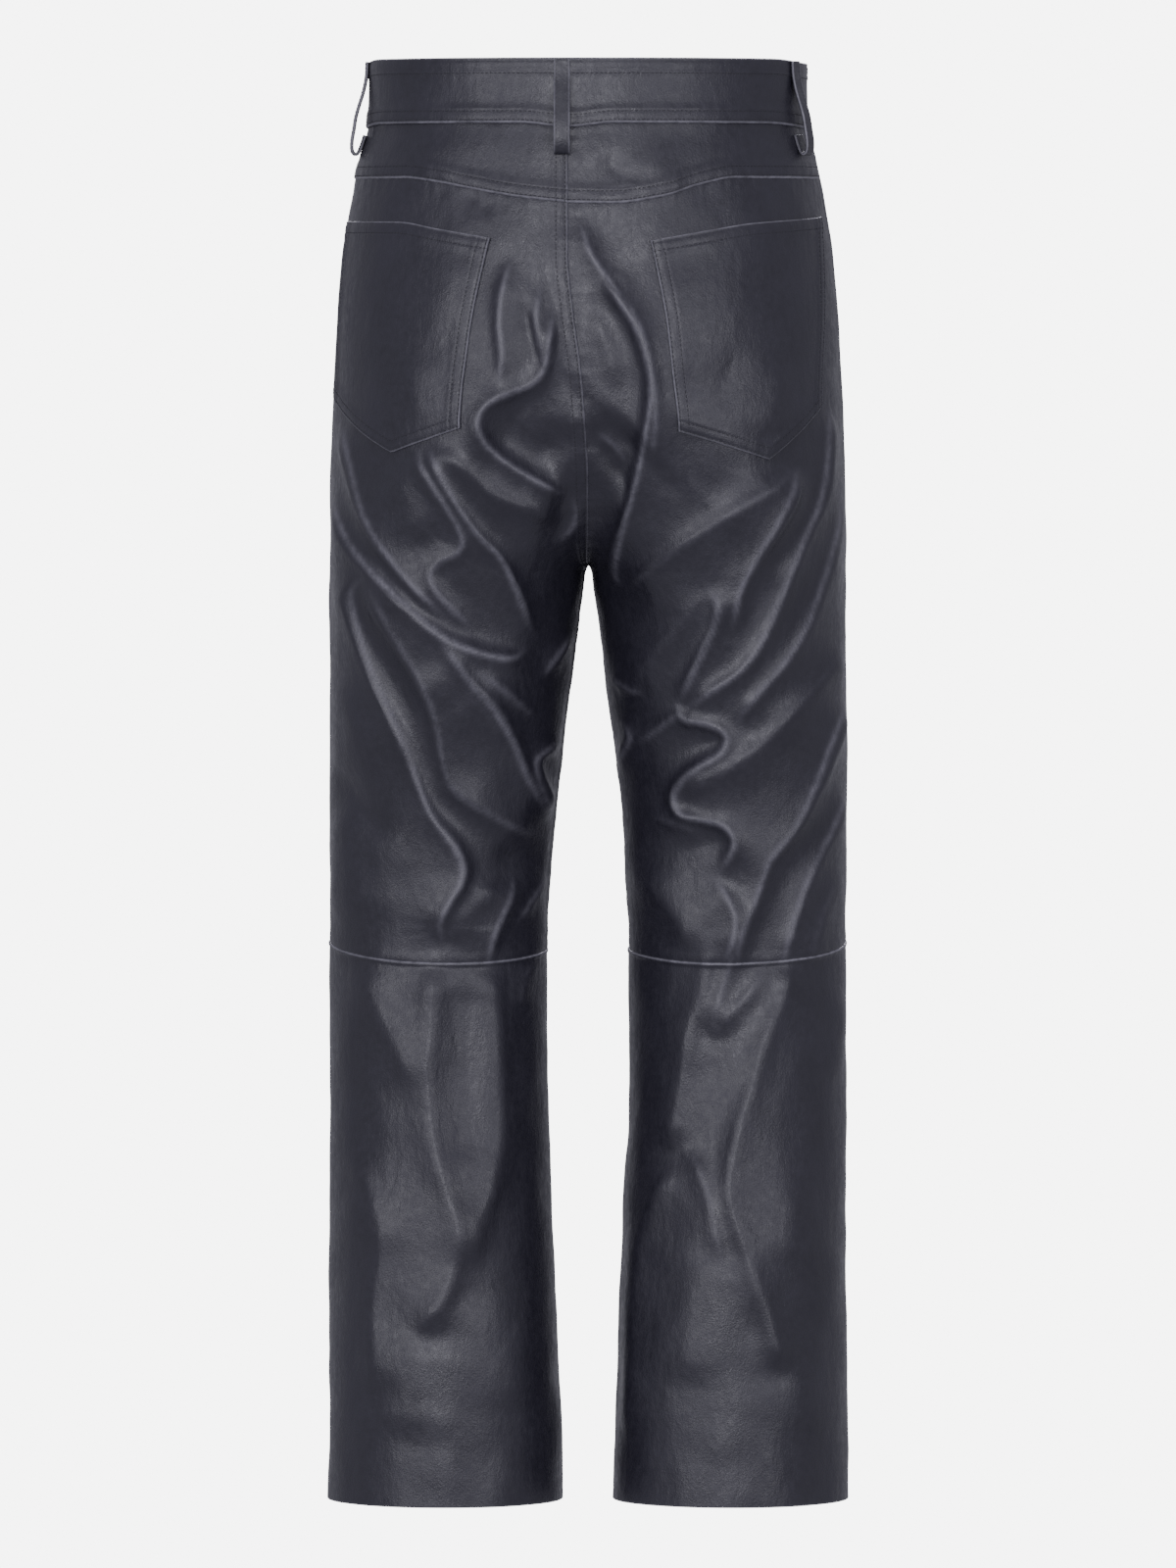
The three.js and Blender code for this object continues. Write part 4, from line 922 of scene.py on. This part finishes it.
def sew(name, rows, pitch=STITCH_PITCH, length=STITCH_LENGTH, width=THREAD_WIDTH):
    """Stitches along rows, as one plain mesh."""
    verts = np.concatenate([place for place, _ in rows]) * MM
    ways = np.concatenate([way for _, way in rows])
    edges, first = [], 0
    for place, _ in rows:
        edges += [(first + i, first + i + 1) for i in range(len(place) - 1)]
        first += len(place)
    mesh = bpy.data.meshes.new(name)
    mesh.from_pydata(verts.tolist(), edges, [])
    out = mesh.attributes.new("out", "FLOAT_VECTOR", "POINT")
    out.data.foreach_set("vector", ways.ravel().astype(np.float32))
    guide = bpy.data.objects.new(name + "_rows", mesh)
    bpy.context.collection.objects.link(guide)
    modifier = guide.modifiers.new("stitches", "NODES")
    modifier.node_group = stitches
    sizes = {"Pitch": pitch, "Length": length, "Width": width}
    for item in stitches.interface.items_tree:
        if item.name in sizes and item.in_out == "INPUT":
            modifier[item.identifier] = sizes[item.name]
    depsgraph = bpy.context.evaluated_depsgraph_get()
    plain = bpy.data.meshes.new_from_object(guide.evaluated_get(depsgraph))
    guide.modifiers.remove(modifier)
    bpy.data.objects.remove(guide)
    plain.polygons.foreach_set("use_smooth", np.ones(len(plain.polygons), bool))
    obj = bpy.data.objects.new(name, plain)
    bpy.context.collection.objects.link(obj)
    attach(obj, "root")


BOTH_ROWS = (EDGE_ROW, SECOND_ROW)
UNSEEN_SEAT = 300
sew("thread_seat", [row_along("back_left", "first", inside, 4, UNSEEN_SEAT) for inside in BOTH_ROWS])

# Back yokes: the shaped pieces between the waistband and the legs, of the same leather, with their
# lower edge turned under and lapped over the legs. They are sewn with two rows.


def band_seam(share):
    return BAND_HEIGHT + 3 * (1 - smooth(share / 0.16)) + 3 * smooth((share - 0.7) / 0.3)


YOKE_STEP = 3.2
for side, hand in HANDS.items():
    back = partial(back_length, side), partial(back_point, side)
    points = cross_panel(*back, band_seam, partial(yoke_seam, side), YOKE_STEP)
    edges = (MIDDLE_SEAM[side], "butt", "under", "over")
    sew_panel(f"yoke_leather_{hand}", f"yoke_{hand}", points, side, edges, seed=11 + side)
yoke_rows = [row_along(f"yoke_{hand}", "bottom", i, 1, 1) for hand in HANDS.values() for i in BOTH_ROWS]
yoke_rows += [row_along("yoke_left", "first", inside, 2, 1) for inside in BOTH_ROWS]
sew("thread_yokes", yoke_rows)

# Lower back legs: straight panels from the knee seam to the hem, which is turned up and glued with
# no stitches
LOWER_EDGES = ("butt", "butt", "welt", "hem")
for side, hand in HANDS.items():
    back = partial(back_length, side), partial(back_point, side)
    points = cross_panel(*back, knee_back, hem_line, BACK_STEP)
    name = f"back_leather_{hand}_lower"
    sew_panel(name, f"back_{hand}_lower", points, side, LOWER_EDGES, seed=17 + side)

# Front legs: an upper and a lower panel on each side, in the same leather. They are plain, as the
# photograph shows only the back: the left one laps over the zip and both are pressed open at the sides.
FRONT_DIP = 6
FRONT_STEP = 5


def front_seam(share):
    return band_seam(1.0) + FRONT_DIP * smooth(1 - share)


for side, hand in HANDS.items():
    front = partial(front_length, side), partial(front_point, side)
    points = upper_panel(*front, front_seam, knee_front, FRONT_STEP)
    edges = (MIDDLE_SEAM[side], "butt", "under", "butt")
    sew_panel(f"front_leather_{hand}", f"front_{hand}", points, -side, edges, seed=23 + side)
    points = cross_panel(*front, knee_front, hem_line, FRONT_STEP)
    name = f"front_leather_{hand}_lower"
    sew_panel(name, f"front_{hand}_lower", points, -side, LOWER_EDGES, seed=29 + side)

# Back pockets: patch pockets of one leather piece each, its edges turned under, sewn on with two
# rows round the sides and point, and one along the mouth.
POCKETS = {
    LEFT: dict(
        top_inner=191, top_outer=36.5, low_inner=187.5, low_outer=46, tip=0.4,
        inner_down=263, tip_down=280.6, outer_down=242,
        mouth=table(("share", "down"), (0, 128), (0.27, 121.5), (0.5, 116.5), (1, 116)),
    ),
    RIGHT: dict(
        top_inner=183, top_outer=20.5, low_inner=182.5, low_outer=58, tip=0.54,
        inner_down=265, tip_down=285.5, outer_down=248,
        mouth=table(("share", "down"), (0, 130), (0.27, 122.7), (0.5, 117.5), (1, 112.8)),
    ),
}
POCKET_LIFT = 1.5
POCKET_WALL = 1.2
POCKET_STEP = 3
POCKET_DROP = 135.0
for side, hand in HANDS.items():
    pocket = POCKETS[side]
    width = pocket["top_inner"] - pocket["top_outer"]
    share = lines_between(np.array([width]), POCKET_STEP)[0] / width
    way = lines_between(np.array([POCKET_DROP]), POCKET_STEP)[0][:, None] / POCKET_DROP
    before, after = share / pocket["tip"], (share - pocket["tip"]) / (1 - pocket["tip"])
    low = np.where(
        before < 1, mix(pocket["inner_down"], pocket["tip_down"], before),
        mix(pocket["tip_down"], pocket["outer_down"], after),
    )
    top_in = mix(pocket["top_inner"], pocket["top_outer"], share)
    low_in = mix(pocket["low_inner"], pocket["low_outer"], share)
    top = curve(pocket["mouth"], "down", "share")(share)
    points = back_point(side, mix(top_in, low_in, way), mix(top, low, way))
    node = f"pocket_{hand}"
    sew_panel(
        f"pocket_leather_{hand}", node, points, side, ("turned",) * 4, seed=37 + side,
        wall=POCKET_WALL, lift=POCKET_LIFT, calm=0.5,
    )
    rows = [row_along(node, edge, i, i, i) for edge in ("first", "last", "bottom") for i in BOTH_ROWS]
    rows.append(row_along(node, "top", SECOND_ROW, EDGE_ROW, EDGE_ROW))
    sew(f"thread_pocket_{hand}", rows)

# Waistband: one shaped strip of doubled leather, closed at the centre front with its left end on
# top. A row of stitches runs below its top edge, and two along its lower edge.
BAND_WALL = 3
BAND_PROUD = 1
OVERLAP = 4
STEP_FROM, STEP_TO = 17, 6.5
UNDERLAP = (12, 24, 36)
BAND_STEP = 4.2
BAND_DROP = 45.0
LAP_GAP = 0.3
TOP_ROW = 11
BAND_ROW_END = 50
under_lift = BAND_PROUD - BAND_WALL - LAP_GAP


def band_top_back(share):
    return 2.5 * smooth((share - 0.75) / 0.25)


def band_top_front(share):
    return band_top_back(1.0) + FRONT_DIP * smooth(1 - share)


front_reach = {side: float(front_length(side, np.array(front_seam(0.0)))) for side in HANDS}
back_reach = {side: float(back_length(side, np.array(band_seam(0.0)))) for side in HANDS}
band_way = lines_between(np.array([BAND_DROP]), 3)[0][:, None] / BAND_DROP
stretches = []


def add_front(side, away):
    share = away / front_reach[side]
    down = mix(band_top_front(share), front_seam(share), band_way)
    reach = front_length(side, mix(band_top_front(0.0), front_seam(0.0), band_way))
    stretches.append(front_point(side, reach * (1 - share), down))


def add_back(side, away):
    share = away / back_reach[side]
    down = mix(band_top_back(share), band_seam(share), band_way)
    reach = back_length(side, mix(band_top_back(0.0), band_seam(0.0), band_way))
    stretches.append(back_point(side, reach * (1 - share), down))


def even(low, high):
    return np.linspace(low, high, int(abs(high - low) / BAND_STEP) + 1)


add_front(RIGHT, np.array([OVERLAP, OVERLAP - 0.7, OVERLAP - 1.6]))
add_front(LEFT, even(0, front_reach[LEFT])[:-1])
add_back(LEFT, even(back_reach[LEFT], 0))
add_back(RIGHT, even(0, back_reach[RIGHT])[1:-1])
add_front(RIGHT, even(front_reach[RIGHT], STEP_FROM))
upper_columns = sum(s.shape[1] for s in stretches)
add_front(RIGHT, np.linspace(STEP_FROM - 2, STEP_TO, 5))
slope_columns = stretches[-1].shape[1]
add_front(LEFT, np.array((3,) + UNDERLAP, float))
under_columns = stretches[-1].shape[1]
band_points = np.concatenate(stretches, axis=1)
lifts = np.concatenate([
    np.full(upper_columns, float(BAND_PROUD)),
    mix(BAND_PROUD, under_lift, smooth(np.linspace(0.2, 1, slope_columns))),
    np.full(under_columns, float(under_lift)),
])
sew_panel(
    "waistband_leather", "waistband", band_points, 1, ("turned", "bare", "turned", "over"), seed=43,
    wall=BAND_WALL - 0.4, lift=lifts, calm=0.4,
)
band_rows = (("top", TOP_ROW), ("bottom", EDGE_ROW), ("bottom", SECOND_ROW))
sew("thread_waistband", [row_along("waistband", *row, 3, BAND_ROW_END) for row in band_rows])

# Belt loops: three straps of folded leather, sewn at the waistband's top edge. They are cut long, so
# they bow outwards and turn back in to the waistband's lower seam.
LOOP_WIDTH = 11.5
LOOP_WALL = 2.2
LOOP_PATH = table(
    ("down", "out"),
    (1.5, 2.6), (12, 2.9), (22, 4.6), (32, 7.4), (41, 9.6), (50, 10.4), (58, 9.6),
    (64.5, 7.4), (67.5, 4.6), (66.5, 2.4), (61, 1.7), (54, 1.7),
)
back_reach_at_seam = float(np.interp(BAND_HEIGHT, form_downs, back_lengths))
LOOPS = {
    "loop_centre": (LEFT, back_reach_at_seam - 18.6),
    "loop_left": (LEFT, 7.0),
    "loop_right": (RIGHT, 44.0),
}
LOOP_LINES = np.array([0, 0.35, 0.9, 1.8, 3.2, 4.8, 6.7, 8.3, 9.7, 10.6, 11.15, LOOP_WIDTH])
LOOP_STEPS = 90
LOOP_ROUND, LOOP_ROUND_DROP = 1, 0.45
LOOP_RUB_AND_HIGHLIGHT = 0.7
LOOP_STITCH = dict(pitch=2.9 * MM, length=2.2 * MM, width=0.46 * MM)
LOOP_STITCH_LIFT = -0.08


def one_place(side, arc, down):
    return cloth_point(side, np.array([float(arc)]), np.array([float(down)]))[0]


loop_rows = []
for node, (side, arc) in LOOPS.items():
    place = one_place(side, arc, BAND_HEIGHT)
    across = one_place(side, arc - 2 * side, BAND_HEIGHT) - one_place(side, arc + 2 * side, BAND_HEIGHT)
    across /= np.linalg.norm(across)
    out = np.array([across[1], -across[0], 0])
    route = []
    for down, away in zip(LOOP_PATH["down"], LOOP_PATH["out"]):
        route.append((float((one_place(side, arc, down) - place) @ out) + away, down))
    line = rounded_path(np.array(route), LOOP_STEPS)[::-1]
    height = np.array([0, 0, 1]) * (BAND_HEIGHT / 2 - line[:, 1:])
    middle = place[None, :] * (1, 1, 0) + out * line[:, :1] + height
    tangent = np.gradient(middle, axis=0)
    tangent /= np.linalg.norm(tangent, axis=1, keepdims=True)
    face = np.cross(across, tangent)
    spread = LOOP_LINES - LOOP_WIDTH / 2
    past = np.clip(np.abs(spread) - (LOOP_WIDTH / 2 - LOOP_ROUND), 0, 1)
    crown = -LOOP_ROUND_DROP * (1 - np.sqrt(np.clip(1 - past ** 2, 0, 1)))
    grid = middle[:, None, :] + across * spread[None, :, None]
    ways = np.broadcast_to(face[:, None, :], grid.shape)
    half_wall = ways * (LOOP_WALL / 2 + crown[None, :, None])
    outer = grid + half_wall
    # The strap's edges are painted paler: rubbed wear and a painted highlight.
    rubbed_and_highlit = np.broadcast_to(hump(LOOP_WIDTH / 2 - np.abs(spread), LOOP_RUB_AND_HIGHLIGHT), grid.shape[:2])
    obj = grid_mesh(node + "_strap", outer, grid - half_wall, rubbed_and_highlit, [panel_leather])
    stand_for(obj, node)
    sewn[node] = {
        "points": outer, "normals": ways, "across": run_lengths(grid, 1), "below": run_lengths(grid, 0),
    }
    loop_rows += [row_along(node, edge, EDGE_ROW, 3, 1, LOOP_STITCH_LIFT) for edge in ("first", "last")]
sew("thread_loops", loop_rows, **LOOP_STITCH)

# Zip and button: a woven tape and chain behind the centre front, a metal slider closed at its top,
# and the waistband's button. Their shapes are the solids' own.
TAPE_DARK, TAPE_PALE = (0.008, 0.008, 0.009, 1), (0.022, 0.022, 0.024, 1)
METAL_DARK, METAL_PALE = (0.10, 0.095, 0.085, 1), (0.34, 0.32, 0.29, 1)
tape_material, tape_shader, tape_place = new_material("zip_weave", Specular_IOR_Level=0.2)
ribs = tape_place.node(
    "ShaderNodeTexWave", {"wave_type": "BANDS", "bands_direction": "Z"},
    {"Vector": tape_place, "Scale": 520.0, "Distortion": 0.4},
)
feed(tape_shader, Base_Color=ribs.blend(TAPE_DARK, TAPE_PALE))
feed(tape_shader, Roughness=0.8 + ribs * 0.12)
feed(tape_shader, Normal=bump(ribs, 0.6, 0.0003))
metal_material, metal_shader, metal_place = new_material("aged_metal", Metallic=1.0)
tarnish = noise(metal_place, 340, 4, 0.6)
feed(metal_shader, Base_Color=tarnish.blend(METAL_DARK, METAL_PALE))
feed(metal_shader, Roughness=0.28 + tarnish * 0.25)
feed(metal_shader, Normal=bump(tarnish, 0.2, 0.0001))


def dress(node, material):
    """A CAD node whose shape is right gets its material."""
    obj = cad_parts[node]
    obj.data.materials.clear()
    obj.data.materials.append(material)


dress("zip_tape", tape_material)
dress("zip_slider", metal_material)
dress("waist_button", metal_material)

# Room: three large soft lights in front, a weaker one above and one high behind, in a white room
# that is dim to the leather, so that it turns dark where it faces away from the lights.
LIGHT_COLOUR = (0.93, 0.92, 1)
ROOM_SEEN, ROOM_FELT = 6.5, 0.52
SEEN_COLOUR, FELT_COLOUR = (1, 1, 1, 1), (0.89, 0.88, 1, 1)


def soft_light(name, place, target, size, watts):
    light = bpy.data.lights.new(name, "AREA")
    light.shape, light.size, light.size_y, light.energy = "RECTANGLE", size[0], size[1], watts
    light.color = LIGHT_COLOUR
    lamp = bpy.data.objects.new(name, light)
    lamp.location = place
    lamp.rotation_euler = (Vector(target) - Vector(place)).to_track_quat("-Z", "Y").to_euler()
    bpy.context.collection.objects.link(lamp)


soft_light("front_light", (-0.4, -6.0, 0.45), (0, 0, -0.5), (2.2, 2.4), 134)
soft_light("left_light", (-3.5, -4.6, 0.2), (0, 0, -0.5), (2.2, 2.8), 82)
soft_light("right_light", (3.2, -4.8, 0.2), (0, 0, -0.5), (2.0, 2.8), 66)
soft_light("top_light", (0.0, -1.6, 3.0), (0, 0, -0.3), (2.4, 1.4), 48)
soft_light("far_light", (0.3, 4.6, 2.3), (0, 0, -0.45), (3.4, 1.6), 210)
world = bpy.data.worlds.new("white_room")
world.use_nodes = True
bpy.context.scene.world = world
room = world.node_tree
seen = room.nodes.new("ShaderNodeBackground")
seen.inputs["Color"].default_value = SEEN_COLOUR
seen.inputs["Strength"].default_value = ROOM_SEEN
felt = room.nodes["Background"]
felt.inputs["Color"].default_value = FELT_COLOUR
felt.inputs["Strength"].default_value = ROOM_FELT
path = room.nodes.new("ShaderNodeLightPath")
either = room.nodes.new("ShaderNodeMixShader")
room.links.new(path.outputs["Is Camera Ray"], either.inputs[0])
room.links.new(felt.outputs[0], either.inputs[1])
room.links.new(seen.outputs[0], either.inputs[2])
room.links.new(either.outputs[0], room.nodes["World Output"].inputs["Surface"])
